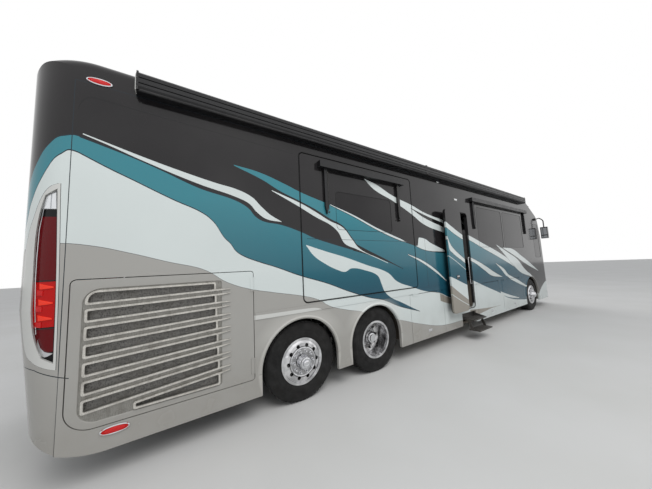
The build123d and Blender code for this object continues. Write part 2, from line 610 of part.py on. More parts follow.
with BuildPart() as louvres:
    # mesh panel seated in the opening
    shaped_panel(-1, RAD_OPEN_X, RAD_OPEN_Z, RAD_OPEN_CORNERS, MESH_DEPTH - WALL, MESH_DEPTH, -FIT)
    # webs of the bars with a slot between each two, and a bright ridge round every slot
    slots = []
    for index in range(LOUVRE_BARS + 1):
        rear_x = LOUVRE_REAR_X + (SLOT_TIP if index == LOUVRE_BARS else 0)
        front_x = front_end(index)
        slots.append([
            (rear_x, on_line(index + 1, rear_x) + LOUVRE_HALF), (front_x, on_line(index + 1, front_x) + LOUVRE_HALF),
            (front_x, on_line(index, front_x) - LOUVRE_HALF), (rear_x, on_line(index, rear_x) - LOUVRE_HALF),
        ])
    shaped_panel(-1, RAD_OPEN_X, RAD_OPEN_Z, RAD_OPEN_CORNERS, -WEB_DEPTH, WALL - WEB_DEPTH, -FIT)
    with BuildSketch(side_plane(-1, LOUVRE_PROUD)) as ridges:
        for corners in slots:
            with BuildLine():
                Polyline(*corners, close=True)
            make_face()
        fillet(ridges.vertices().sort_by_distance((*slots[0][3], 0))[0], LOUVRE_TOP_CORNER)
        offset(amount=RIDGE, kind=Kind.ARC)
    extrude(ridges.sketch, amount=-(LOUVRE_PROUD + WEB_DEPTH))
    with BuildSketch(side_plane(-1, LOUVRE_PROUD)) as ends:
        for index in range(1, LOUVRE_BARS + 1):
            for way in (1, -1):
                line = [(x, on_line(index, x) + way * (LOUVRE_HALF - RIDGE / 2)) for x in (front_end(index), RAD_OPEN_X[1])]
                far_x = RAD_OPEN_X[1] + LOUVRE_REACH
                tip = (far_x, on_line(index, far_x) + way * (LOUVRE_HALF - RIDGE / 2 - 4))
                with BuildLine():
                    Polyline(
                        (line[0][0], line[0][1] - RIDGE / 2), (line[1][0], line[1][1] - RIDGE / 2),
                        (tip[0], tip[1] - 3), (tip[0], tip[1] + 3),
                        (line[1][0], line[1][1] + RIDGE / 2), (line[0][0], line[0][1] + RIDGE / 2), close=True,
                    )
                make_face()
    extrude(ends.sketch, amount=-(LOUVRE_PROUD - FIT))
    with BuildSketch(side_plane(-1, LOUVRE_PROUD + 5)) as openings:
        for corners in slots:
            with BuildLine():
                Polyline(*corners, close=True)
            make_face()
        fillet(openings.vertices().sort_by_distance((*slots[0][3], 0))[0], LOUVRE_TOP_CORNER)
        sharp = [
            vertex for vertex in openings.vertices()
            if any(math.dist((vertex.X, vertex.Y), corner) < 1 for corners in slots for corner in corners)
        ]
        fillet(sharp, LOUVRE_CORNER)
    extrude(openings.sketch, amount=-(LOUVRE_PROUD + 5 + WALL - MESH_DEPTH), mode=Mode.SUBTRACT)
save(louvres.part, "radiator_louvres")

with BuildPart() as engine_side_door:
    shaped_panel(1, RAD_DOOR_X, RAD_DOOR_Z, RAD_DOOR_CORNERS, 0, WALL)
    for index in range(SIDE_SLOTS):
        z = RAD_OPEN_Z[1] - (index + 1) * SIDE_SLOT_PITCH
        block((RAD_OPEN_X[0], RAD_OPEN_X[1]), (HALF - 2 * WALL, HALF + 5), (z - 12, z + 12), mode=Mode.SUBTRACT)
    upright_hinge(1, RAD_DOOR_X[1], RAD_DOOR_Z)
save(engine_side_door.part, "engine_side_door")

for name, (side, low, high) in BAY_DOORS.items():
    with BuildPart() as bay_door:
        block((low, high), mirrored((HALF - WALL, HALF), side), (SKIRT_Z, BAY_TOP_Z - DOOR_GAP))
        top_hinge(side, (low, high), BAY_TOP_Z - DOOR_GAP)
    save(bay_door.part, name)

# Slide room: a tray open to the cabin, its outer wall flush with the side
with BuildPart() as slide_room:
    side_panel(-1, SLIDE_X, SLIDE_Z, SLIDE_CORNER, 0, SLIDE_DEPTH)
    side_panel(-1, gapped(SLIDE_X, -WALL), gapped(SLIDE_Z, -WALL), 20, -WALL, SLIDE_DEPTH, mode=Mode.SUBTRACT)
    side_panel(-1, SLIDE_WINDOW[:2], SLIDE_WINDOW[2:], WINDOW_CORNER, 5, WALL + 10, mode=Mode.SUBTRACT)
save(slide_room.part, "slide_room")


def pane(side, low, high, foot, head):
    """A flush pane of glass seated in its opening."""
    side_panel(side, (low, high), (foot, head), WINDOW_CORNER, -GLASS_RECESS, GLASS)


with BuildPart() as slide_glass:
    pane(-1, *SLIDE_WINDOW)
save(slide_glass.part, "slide_glass")

with BuildPart() as windshield:
    add(envelope(GLASS_RECESS))
    add(envelope(GLASS_RECESS + GLASS, foot=0), mode=Mode.SUBTRACT)
    add(screen_prism(0), mode=Mode.INTERSECT)

with BuildPart() as fixed_glass:
    for window in WINDOWS:
        pane(*window)
    for side in (-1, 1):
        pane(side, *CAB_WINDOW_X, *CAB_WINDOW_Z)
    add(windshield.part)
save(fixed_glass.part, "fixed_glass")


def window_awning(low, high):
    """Awning box over a window with two pointed side arms hanging from it."""
    block((low, high), (-HALF - WINDOW_AWNING_OUT, -HALF), WINDOW_AWNING_Z)
    for x in (low + ARM_INSET, high - ARM_INSET):
        with BuildSketch(side_plane(-1, ARM_OUT)) as arm:
            with BuildLine():
                Polyline(
                    (x - ARM_WIDTH / 2, WINDOW_AWNING_Z[0]), (x + ARM_WIDTH / 2, WINDOW_AWNING_Z[0]),
                    (x + ARM_WIDTH / 2, ARM_FOOT_Z + 2 * ARM_WIDTH), (x, ARM_FOOT_Z),
                    (x - ARM_WIDTH / 2, ARM_FOOT_Z + 2 * ARM_WIDTH), close=True,
                )
            make_face()
        extrude(arm.sketch, amount=-ARM_OUT)


with BuildPart() as slide_awning:
    window_awning(*SLIDE_AWNING_X)
save(slide_awning.part, "slide_awning")

with BuildPart() as awnings:
    for low, high in CASSETTES:
        with BuildSketch(Plane.YZ.offset(low)):
            with BuildLine():
                outer, foot, top = -HALF - CASSETTE_OUT, CASSETTE_Z[0], CASSETTE_Z[1]
                Polyline(
                    (-HALF, foot), (outer + 30, foot), (outer, foot + 40), (outer, foot + 70),
                    (outer + 14, foot + 76), (outer, foot + 82), (outer, foot + 130),
                    (outer + 14, foot + 136), (outer, foot + 142), (outer, top - 30),
                    (outer + 30, top), (-HALF - 10, top), (-HALF, top - 90), close=True,
                )
            make_face()
        extrude(amount=high - low)
    window_awning(*FRONT_AWNING_X)
save(awnings.part, "awnings")

# Open entry door with its two carrying arms and post
with BuildPart() as entry_door:
    door_x = (DOORWAY_X[0] - ENTRY_DOOR_SLIDE + 5, DOORWAY_X[1] - ENTRY_DOOR_SLIDE - 5)
    side_panel(-1, door_x, gapped(DOORWAY_Z, -15), DOOR_CORNER, ENTRY_DOOR_OUT + WALL, WALL)
    post_y = (-HALF + WALL + 5, -HALF + WALL + 45)
    post_x = (DOORWAY_X[0] + 5, DOORWAY_X[0] + 45)
    block(post_x, post_y, (DOORWAY_Z[0] + 0.3, DOORWAY_Z[1] - 20))
    for z in DOOR_ARM_Z:
        block(post_x, (-HALF - ENTRY_DOOR_OUT, post_y[1]), (z - 25, z + 25))
save(entry_door.part, "entry_door")

with BuildPart() as entry_steps:
    low, high = STEP_SLOT_X[0] + 20, STEP_SLOT_X[1] - 20
    block((low + STRINGER, high - STRINGER), (-HALF + WALL + 5, -HALF + 400), (STEP_SLOT_Z - 170, STEP_SLOT_Z))
    for reach, z in STEP_TREADS:
        block((low, high), (-reach, -reach + STEP_TREAD_DEPTH), (z - 25, z))
    (upper, upper_z), (lower, lower_z) = STEP_TREADS
    stringers = [
        [(-HALF + 100, STEP_SLOT_Z - 30), (-HALF + 100, upper_z - 25), (10 - upper, upper_z - 25), (10 - upper, upper_z)],
        [(150 - upper, upper_z - 20), (90 - upper, upper_z - 20), (120 - lower, lower_z - 25), (180 - lower, lower_z - 25)],
    ]
    for x in (low, high - STRINGER):
        with BuildSketch(Plane.YZ.offset(x)):
            for corners in stringers:
                with BuildLine():
                    Polyline(*corners, close=True)
                make_face()
        extrude(amount=STRINGER)
save(entry_steps.part, "entry_steps")

# Floor: cabin deck, raised platform over the engine, stepwell, luggage bay floor and bulkheads
inner_half = HALF - WALL
with BuildPart() as floor:
    block((ENGINE_WALL_X, DECK_FRONT_X), (-inner_half, inner_half), DECK_Z)
    block((PLATFORM_REAR_X, ENGINE_WALL_X), (-inner_half, inner_half), PLATFORM_Z)
    block((ENGINE_WALL_X, ENGINE_WALL_X + PLATE), (-inner_half, inner_half), (DECK_Z[0], PLATFORM_Z[1]))
    for low, high in BAY_RUNS:
        block((low, high), (DOOR_BACK_GAP - inner_half, inner_half - DOOR_BACK_GAP), BAY_FLOOR_Z)
        for x in (low, high - PLATE):
            block((x, x + PLATE), (-inner_half, inner_half), (BAY_FLOOR_Z[0], DECK_Z[0]))
    well_y = (-inner_half, -inner_half + 3 * STEP_RUN)
    block(DOORWAY_X, well_y, (DOORWAY_Z[0], DECK_Z[1]), mode=Mode.SUBTRACT)
    for index in range(3):
        block(DOORWAY_X, (-inner_half + index * STEP_RUN, well_y[1]),
              (STEP_SLOT_Z, DOORWAY_Z[0] + index * (DECK_Z[1] - DOORWAY_Z[0]) / 3))
    block((DOORWAY_X[0] - PLATE, DOORWAY_X[0]), (well_y[0], well_y[1] + PLATE), (STEP_SLOT_Z, DECK_Z[1]))
    block((DOORWAY_X[1], DOORWAY_X[1] + PLATE), (well_y[0], well_y[1] + PLATE), (STEP_SLOT_Z, DECK_Z[1]))
    block((DOORWAY_X[0], DOORWAY_X[1]), (well_y[1], well_y[1] + PLATE), (STEP_SLOT_Z, DECK_Z[1]))
    for x in SLIDE_RAILS_X:
        block((x - 40, x + 40), (-inner_half, -HALF + SLIDE_DEPTH), (DECK_Z[1], SLIDE_Z[0] - 0.3))
    for side in (-1, 1):
        block(RAIL_X, mirrored(RAIL_Y, side), RAIL_Z, mode=Mode.SUBTRACT)
save(floor.part, "floor")

# Frame rails with crossmembers and the tow receiver at the rear
with BuildPart() as chassis_frame:
    for side in (-1, 1):
        block(RAIL_X, mirrored(RAIL_Y, side), RAIL_Z)
        block((RAIL_X[0], RAIL_X[0] + 80), mirrored((RAIL_Y[0], RAIL_Y[0] + 40), side),
              (RECEIVER_Z - 50, RAIL_Z[1]))
    for x in CROSSMEMBERS_X:
        block((x - 50, x + 50), (-RAIL_Y[1], RAIL_Y[1]), (RAIL_Z[0] + 40, RAIL_Z[1] - 40))
    block((RAIL_X[0], RAIL_X[0] + 80), (-RAIL_Y[1], RAIL_Y[1]), (RECEIVER_Z - 50, RECEIVER_Z + 50))
    block((RECEIVER_X, RAIL_X[0]), (-RECEIVER_HALF, RECEIVER_HALF),
          (RECEIVER_Z - RECEIVER_HALF, RECEIVER_Z + RECEIVER_HALF))
    block((REAR_X, RAIL_X[0] - 60), (-RECEIVER_BORE / 2, RECEIVER_BORE / 2),
          (RECEIVER_Z - RECEIVER_BORE / 2, RECEIVER_Z + RECEIVER_BORE / 2), mode=Mode.SUBTRACT)
save(chassis_frame.part, "chassis_frame")

# Engine block between the rails, gearbox and propeller shaft to the drive axle
with BuildPart() as engine:
    block(ENGINE_X, (-RAIL_Y[0], RAIL_Y[0]), ENGINE_Z)
    block((ENGINE_X[1], ENGINE_X[1] + GEARBOX_LENGTH), (-GEARBOX_HALF, GEARBOX_HALF), GEARBOX_Z)
    with Locations(Plane(origin=(ENGINE_X[1] + GEARBOX_LENGTH - 40, 0, SHAFT_Z), z_dir=(1, 0, 0))):
        Cylinder(45, DRIVE_AXLE_X - DIFF_R - ENGINE_X[1] - GEARBOX_LENGTH + 40 - 0.3,
                 align=(Align.CENTER, Align.CENTER, Align.MIN))
save(engine.part, "engine")


def turned(x, y, z):
    """Sketch plane through a wheel's axis: local x outboard along +Y, local y radial."""
    return Plane(origin=(x, y, z), x_dir=(0, 1, 0), z_dir=(1, 0, 0))


def axis_along_y(x, z):
    return Axis((x, 0, z), (0, 1, 0))


def lathe(x, y, z, side, points):
    """Revolves a closed outline of (outboard distance, radius) about a wheel's axis."""
    with BuildSketch(turned(x, y, z)) as outline:
        with BuildLine():
            Polyline(*[(side * out, radius) for out, radius in points], close=True)
        make_face()
    revolve(outline.sketch, axis=axis_along_y(x, z))


def tube_y(x, y, z, radius, mode=Mode.ADD):
    """A round bar along Y between the two values of y."""
    with Locations(Plane(origin=(x, y[0], z), z_dir=(0, 1, 0))):
        Cylinder(radius, y[1] - y[0], align=(Align.CENTER, Align.CENTER, Align.MIN), mode=mode)


# Axles: front beam with kingpin bosses, drive axle with its differential, tag axle
with BuildPart() as axles:
    block((FRONT_AXLE_X - 45, FRONT_AXLE_X + 45), (-KINGPIN_Y + 30, KINGPIN_Y - 30), (TYRE_R - 60, TYRE_R + 40))
    block((FRONT_AXLE_X - 60, FRONT_AXLE_X + 60), (-BEAM_HALF, BEAM_HALF), (TYRE_R - 90, TYRE_R + 50))
    for side in (-1, 1):
        with Locations((FRONT_AXLE_X, side * KINGPIN_Y, TYRE_R)):
            Cylinder(48, 140)
            Cylinder(KINGPIN_R + SPINDLE_GAP, 140, mode=Mode.SUBTRACT)
    tube_y(DRIVE_AXLE_X, (-DRIVE_TUBE_END, DRIVE_TUBE_END), TYRE_R, 75)
    tube_y(DRIVE_AXLE_X, (-DRIVE_SPINDLE_END, DRIVE_SPINDLE_END), TYRE_R, SPINDLE_R)
    with Locations((DRIVE_AXLE_X, 0, TYRE_R)):
        Sphere(DIFF_R)
    tube_y(TAG_AXLE_X, (-TAG_TUBE_END, TAG_TUBE_END), TYRE_R, 60)
    tube_y(TAG_AXLE_X, (-SINGLE_SPINDLE_END, SINGLE_SPINDLE_END), TYRE_R, SPINDLE_R)
    for x, reach in SPRING_ARMS:
        for side in (-1, 1):
            block(sorted((x, x + reach)), mirrored((RAIL_Y[0], RAIL_Y[1]), side), ARM_PLATE_Z)
            block((x - 50, x + 50), mirrored((RAIL_Y[0], RAIL_Y[1]), side), (TYRE_R - 40, ARM_PLATE_Z[1]))
save(axles.part, "axles")

with BuildPart() as air_springs:
    for x, reach in SPRING_ARMS:
        for side in (-1, 1):
            spring_x = x + reach - math.copysign(SPRING_R, reach)
            middle = side * sum(RAIL_Y) / 2
            with BuildSketch(Plane(origin=(spring_x, middle, ARM_PLATE_Z[1]), x_dir=(1, 0, 0), z_dir=(0, -1, 0))):
                with BuildLine():
                    height = RAIL_Z[0] - ARM_PLATE_Z[1]
                    Polyline(
                        (0, 0), (SPRING_R - 30, 0), (SPRING_R, 0.2 * height), (SPRING_R - 6, 0.4 * height),
                        (SPRING_R - 30, 0.5 * height), (SPRING_R - 6, 0.6 * height), (SPRING_R, 0.8 * height),
                        (SPRING_R - 30, height), (0, height), close=True,
                    )
                make_face()
            revolve(axis=Axis((spring_x, middle, 0), (0, 0, 1)))
save(air_springs.part, "air_springs")

# Steering knuckles: yoke round the axle's kingpin boss, kingpin and wheel spindle
for name, side in (("knuckle_right", -1), ("knuckle_left", 1)):
    with BuildPart() as knuckle:
        for z in (TYRE_R + 70.3, TYRE_R - 110):
            block((FRONT_AXLE_X - 50, FRONT_AXLE_X + 50), mirrored((KINGPIN_Y - 48, KINGPIN_Y + 80), side),
                  (z, z + 39.7))
        block((FRONT_AXLE_X - 50, FRONT_AXLE_X + 50), mirrored((KINGPIN_Y + 56, KINGPIN_Y + 80), side),
              (TYRE_R - 110, TYRE_R + 110))
        with Locations((FRONT_AXLE_X, side * KINGPIN_Y, TYRE_R)):
            Cylinder(KINGPIN_R, 220)
        tube_y(FRONT_AXLE_X, mirrored((KINGPIN_Y + 70, SINGLE_SPINDLE_END), side), TYRE_R, SPINDLE_R)
    save(knuckle.part, name)

# Wheel outlines as (outboard distance from the tyre's centre plane, radius)
half_tyre = TYRE_WIDTH / 2
TYRE_SECTION = [    # distance in from the sidewall, radius
    (22, RIM_SEAT_R + FIT), (22, RIM_FLANGE_R + 3), (0, TYRE_R - 150), (6, TYRE_R - 60), (42, TYRE_R),
]
TYRE_OUTLINE = (
    [(inward - half_tyre, radius) for inward, radius in TYRE_SECTION]
    + [(half_tyre - inward, radius) for inward, radius in reversed(TYRE_SECTION)]
)
edge = half_tyre - 21.5
RIM_OUTLINE = [
    (-edge, RIM_SEAT_R), (-edge, RIM_FLANGE_R), (-edge - 10, RIM_FLANGE_R), (-edge - 10, RIM_SEAT_R - RIM_WALL),
    (-edge + 30, RIM_SEAT_R - RIM_WALL - 4), (edge - 30, RIM_SEAT_R - RIM_WALL - 4),
    (edge + 10, RIM_SEAT_R - RIM_WALL), (edge + 10, RIM_FLANGE_R), (edge, RIM_FLANGE_R), (edge, RIM_SEAT_R),
]
bore = SPINDLE_R + SPINDLE_GAP
rim_in = RIM_SEAT_R - RIM_WALL
CONVEX_DISC = [
    (edge - 30, rim_in), (edge + 4, rim_in), (edge + 20, 245), (edge + 26, 200), (edge + 26, 150), (edge + 20, 112),
    (edge + 20, 96), (edge + 34, 88), (edge + 40, 60), (edge + 40, 0), (edge + 16, 0),
    (edge + 16, bore), (-90, bore), (-90, 200), (-74, 200), (-74, 110), (edge + 2, 110), (edge + 8, 150),
    (edge + 8, 200), (edge + 2, 240), (edge - 14, rim_in - 12),
]
DISH_DISC = [
    (-edge + 10, rim_in), (-edge + 2, 240), (-edge - 18, 205), (-edge - 22, 180), (-edge - 22, bore),
    (DISH_HUB_OUT, bore), (DISH_HUB_OUT, 0), (DISH_HUB_OUT + 16, 0), (DISH_HUB_OUT + 16, 90),
    (DISH_HUB_OUT, 105), (-edge - 4, 105), (-edge - 4, 180), (-edge - 2, 205), (-edge + 18, 236),
    (-edge + 30, rim_in),
]
INNER_DISC = [
    (-edge + 10, rim_in), (-edge + 2, 240), (-edge - 18, 205), (-edge - 21.5, 180), (-edge - 21.5, bore),
    (-edge - 4, bore), (-edge - 4, 180), (-edge - 2, 205), (-edge + 18, 236), (-edge + 30, rim_in),
]
WHEELS = [
    ("front", FRONT_AXLE_X, WHEEL_Y, False),
    ("drive", DRIVE_AXLE_X, DUAL_OUTER_Y, True),
    ("tag", TAG_AXLE_X, WHEEL_Y, False),
]


def hand_holes(x, y, z, side, depth_from, depth_to):
    """Ring of round holes through a wheel disc."""
    plane = Plane(origin=(x, y + side * depth_from, z), x_dir=(1, 0, 0), z_dir=(0, side, 0))
    with BuildSketch(plane) as holes:
        with PolarLocations(HAND_HOLE_CIRCLE_R, HAND_HOLES):
            Circle(HAND_HOLE_R)
    extrude(holes.sketch, amount=depth_to - depth_from, mode=Mode.SUBTRACT)


for name, x, y, dual in WHEELS:
    for side_name, side in (("right", -1), ("left", 1)):
        with BuildPart() as wheel:
            lathe(x, side * y, TYRE_R, side, RIM_OUTLINE)
            lathe(x, side * y, TYRE_R, side, DISH_DISC if dual else CONVEX_DISC)
            hand_holes(x, side * y, TYRE_R, side, -170 if dual else 60, -60 if dual else 170)
            if dual:
                inner = y - DUAL_SPACING
                lathe(x, side * inner, TYRE_R, side, RIM_OUTLINE)
                lathe(x, side * inner, TYRE_R, -side, INNER_DISC)
                hand_holes(x, side * inner, TYRE_R, side, 60, 170)
                lathe(x, side * inner, TYRE_R, side, [
                    (edge + 21.5, bore), (edge + 21.5, 105), (y - inner - edge - 22, 105),
                    (y - inner - edge - 22, bore),
                ])
        save(wheel.part, f"wheel_{name}_{side_name}")
        with BuildPart() as tyre:
            lathe(x, side * y, TYRE_R, side, TYRE_OUTLINE)
            if dual:
                lathe(x, side * (y - DUAL_SPACING), TYRE_R, side, TYRE_OUTLINE)
        save(tyre.part, f"tyre_{name}_{side_name}")

# Low shrouds of the roof air conditioners
with BuildPart() as roof_units:
    for x in ROOF_UNITS_X:
        with BuildSketch(Plane.XY.offset(ROOF_Z)):
            with Locations((x, 0)):
                RectangleRounded(ROOF_UNIT[0], ROOF_UNIT[1], 120)
        extrude(amount=ROOF_UNIT[2], taper=25)
save(roof_units.part, "roof_units")

# Hanging mirrors on curved arms
with BuildPart() as mirrors:
    for side in (-1, 1):
        with BuildLine() as arm_line:
            FilletPolyline(*[(x, side * y, z) for x, y, z in MIRROR_ARM], radius=MIRROR_BEND)
        with BuildSketch(Plane(origin=arm_line.line @ 0, z_dir=arm_line.line % 0)):
            Circle(MIRROR_TUBE_R)
        sweep(path=arm_line.line)
        block(MIRROR_HEAD_X, mirrored(MIRROR_HEAD_Y, side), MIRROR_HEAD_Z)
        block(MIRROR_FOOT_X, mirrored(MIRROR_FOOT_Y, side), MIRROR_FOOT_Z)
save(mirrors.part, "mirrors")

# Dashboard with steering column and wheel
with BuildPart() as dashboard:
    with BuildSketch(Plane.XZ.offset(-DASH_HALF)):
        with BuildLine():
            Polyline(
                (DASH_X[0], DECK_Z[1]), (DASH_X[0] + 60, DECK_Z[1] + 380), (DASH_X[0] + 120, DASH_TOP_Z),
                (DASH_X[1], DASH_TOP_Z), (DASH_X[1], DECK_Z[1]), close=True,
            )
        make_face()
    extrude(amount=2 * DASH_HALF)
    with Locations(Plane(origin=STEERING_CENTRE, z_dir=(-0.82, 0, 0.57))):
        Torus(STEERING_R, 15)
        Cylinder(45, 60)
        for angle in (90, 210, 330):
            with PolarLocations(STEERING_R / 2, 1, start_angle=angle):
                Box(STEERING_R, 30, 16)
        with Locations((0, 0, -170)):
            Cylinder(35, 320)
save(dashboard.part, "dashboard")

with BuildPart() as cab_seats:
    for side in (-1, 1):
        y = mirrored((SEAT_Y - SEAT_WIDTH / 2, SEAT_Y + SEAT_WIDTH / 2), side)
        block((SEAT_X + 120, SEAT_X + 420), mirrored((SEAT_Y - 150, SEAT_Y + 150), side), (DECK_Z[1], DECK_Z[1] + 330))
        block((SEAT_X, SEAT_X + 560), y, (DECK_Z[1] + 330, DECK_Z[1] + 480))
        block((SEAT_X - 90, SEAT_X + 60), y, (DECK_Z[1] + 400, DECK_Z[1] + 1080))
save(cab_seats.part, "cab_seats")
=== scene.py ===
"""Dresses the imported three-axle motorhome: painted body, glass, lamps, wheels, awnings and cab."""

import logging
import math
from dataclasses import dataclass
from enum import Enum
from typing import Iterable, Optional, Sequence

import bmesh
import bpy
import numpy as np
from mathutils import Matrix, Vector
from mathutils.bvhtree import BVHTree


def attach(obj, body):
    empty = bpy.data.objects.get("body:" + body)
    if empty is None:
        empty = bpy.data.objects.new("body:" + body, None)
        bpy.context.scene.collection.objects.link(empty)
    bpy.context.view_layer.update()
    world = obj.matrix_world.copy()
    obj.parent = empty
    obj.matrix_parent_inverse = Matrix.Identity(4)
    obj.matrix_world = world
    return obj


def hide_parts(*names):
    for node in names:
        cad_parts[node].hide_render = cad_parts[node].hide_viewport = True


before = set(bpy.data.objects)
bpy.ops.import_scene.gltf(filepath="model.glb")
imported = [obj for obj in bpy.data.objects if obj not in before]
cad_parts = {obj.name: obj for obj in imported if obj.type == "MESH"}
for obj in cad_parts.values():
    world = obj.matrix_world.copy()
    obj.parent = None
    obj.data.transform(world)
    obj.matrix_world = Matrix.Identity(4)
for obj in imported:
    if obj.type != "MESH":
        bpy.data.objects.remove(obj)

log = logging.getLogger("motorhome")

HALF = 1.29                  # half the body's width
REAR_X = -6.80
FRONT_X = 6.80
REAR_SEAM = -6.38            # joint of the rear cap and the side walls
SIDES = RIGHT, LEFT = -1, 1
CORNERS = ((-1, -1), (1, -1), (1, 1), (-1, 1))
OVAL_STEPS = 28              # points round an oval or a lamp's rim
AXLE_Z = 0.53
TAG, DRIVE, FRONT = AXLES = (2.32, 3.75, 11.20)  # axles, in metres ahead of the rear seam
ARCH_RADIUS = 0.604
BELT_Z = 1.192               # crease above the rear wheels
NOTHING = 1e-9               # a distance taken as none
SHARP = math.radians(35.0)   # angle from which an edge stays sharp

Point = tuple[float, float, float]
Edge = tuple[tuple[float, float], ...]
Colour = tuple[float, float, float, float]
Shade = tuple[int, int, int]
Wire = bpy.types.NodeSocket


def ahead(run: float) -> float:
    """The x of a place given in metres ahead of the rear seam."""
    return REAR_SEAM + run


def tint(red: int, green: int, blue: int) -> Colour:
    """Turns a display colour (0 to 255) into the linear colour that shaders use.

    Args:
        red: Red part.
        green: Green part.
        blue: Blue part.

    Returns:
        The linear colour with full alpha.
    """
    parts = [c / 255 for c in (red, green, blue)]
    linear = [c / 12.92 if c <= 0.04045 else ((c + 0.055) / 1.055) ** 2.4 for c in parts]
    return (linear[0], linear[1], linear[2], 1.0)


class Graph:
    """Adds nodes to one shader tree with plain calls."""

    def __init__(self, tree: bpy.types.NodeTree) -> None:
        """Keeps the tree that the nodes go into."""
        self.tree = tree
        self.place: Optional[Wire] = None

    def feed(self, node: bpy.types.Node, inputs: dict) -> bpy.types.Node:
        """Links the outputs given for a node's inputs, and sets the plain values.

        Args:
            node: The node.
            inputs: Socket name or number to a value or another node's output.

        Returns:
            The node.
        """
        for key, value in inputs.items():
            if isinstance(value, Wire):
                self.tree.links.new(value, node.inputs[key])
            else:
                node.inputs[key].default_value = value
        return node

    def node(self, kind: str, inputs: Optional[dict] = None, **settings: object) -> bpy.types.Node:
        """Adds one node.

        Args:
            kind: Its type.
            inputs: Its inputs, as feed() takes them.
            settings: Its properties by name.

        Returns:
            The node.
        """
        made = self.tree.nodes.new(kind)
        for name, value in settings.items():
            setattr(made, name, value)
        return self.feed(made, inputs or {})

    def math(self, operation: str, *values: object) -> Wire:
        """Adds a Math node on up to three numbers or outputs."""
        return self.node("ShaderNodeMath", dict(enumerate(values)), operation=operation).outputs[0]

    def less(self, value: object, taken: object) -> Wire:
        """The first value less the second."""
        return self.math("SUBTRACT", value, taken)

    def times(self, first: object, second: object) -> Wire:
        """The product of two values."""
        return self.math("MULTIPLY", first, second)

    def above(self, value: object, limit: object) -> Wire:
        """1 where the value is above the limit, and 0 elsewhere."""
        return self.math("GREATER_THAN", value, limit)

    def below(self, value: object, limit: object) -> Wire:
        """1 where the value is below the limit, and 0 elsewhere."""
        return self.math("LESS_THAN", value, limit)

    def gap(self, value: object, middle: object) -> Wire:
        """How far a value is from a middle one."""
        return self.math("ABSOLUTE", self.less(value, middle))

    def reach(self, x: Wire, z: Wire, axle: float) -> Wire:
        """Distance from an axle, across its wheel."""
        spot = self.node("ShaderNodeCombineXYZ", {0: self.less(x, ahead(axle)), 1: self.less(z, AXLE_Z)})
        return self.node("ShaderNodeVectorMath", {0: spot.outputs[0]}, operation="LENGTH").outputs["Value"]

    def mix(self, share: object, first: object, second: object) -> Wire:
        """Mixes two colours, with a share of the second from 0 to 1."""
        return self.node("ShaderNodeMix", {0: share, 6: first, 7: second}, data_type="RGBA").outputs[2]

    def object_place(self) -> Wire:
        """The point on the object, in metres of the shared frame.

        Returns:
            The output that holds it.
        """
        if self.place is None:
            self.place = self.node("ShaderNodeTexCoord").outputs["Object"]
        return self.place

    def axes(self) -> tuple[Wire, Wire, Wire]:
        """The point's x, y and z as three outputs."""
        return tuple(self.node("ShaderNodeSeparateXYZ", {0: self.object_place()}).outputs)

    def noise(self, scale: float, detail: float = 3.0, stretch: Optional[Point] = None) -> Wire:
        """Adds a noise pattern on object coordinates.

        Args:
            scale: Cells per metre.
            detail: Octaves.
            stretch: Scale of each axis before the noise.

        Returns:
            The noise value.
        """
        place = self.object_place()
        if stretch is not None:
            place = self.node("ShaderNodeMapping", {"Vector": place, "Scale": stretch}).outputs[0]
        inputs = {"Vector": place, "Scale": scale, "Detail": detail}
        return self.node("ShaderNodeTexNoise", inputs).outputs["Fac"]

    def spread(self, value: object, low: float, high: float, to_low: float, to_high: float) -> Wire:
        """Maps a value from the range low to high to another, held within it."""
        inputs = {0: value, 1: low, 2: high, 3: to_low, 4: to_high}
        return self.node("ShaderNodeMapRange", inputs, clamp=True).outputs[0]

    def weave(self, along: object, up: object, size: float) -> Wire:
        """Height from 0 to 1 of pillows of a size, set in a grid over two distances."""
        over, under = (self.math("SINE", self.times(run, 2 * math.pi / size)) for run in (along, up))
        return self.math("MULTIPLY_ADD", self.times(over, under), 0.5, 0.5)

    def bump(self, height: object, distance: float) -> Wire:
        """The normal of a height field that is a distance in metres high."""
        inputs = {"Height": height, "Distance": distance, "Strength": 1.0}
        return self.node("ShaderNodeBump", inputs).outputs[0]


def new_material(name: str) -> tuple[bpy.types.Material, Graph, bpy.types.Node]:
    """Makes an empty material with its surface shader.

    Args:
        name: The material's name.

    Returns:
        The material, its graph and its Principled node.
    """
    material = bpy.data.materials.new(name)
    material.use_nodes = True
    material.node_tree.nodes.clear()
    graph = Graph(material.node_tree)
    shader = graph.node("ShaderNodeBsdfPrincipled")
    graph.node("ShaderNodeOutputMaterial", {"Surface": shader.outputs[0]})
    return material, graph, shader


class Grain(Enum):
    """Fine surface pattern of a finish."""

    SMOOTH = "smooth"
    CAST = "cast"
    LEATHER = "leather"
    CARPET = "carpet"
    TREADPLATE = "treadplate"
    FABRIC = "fabric"


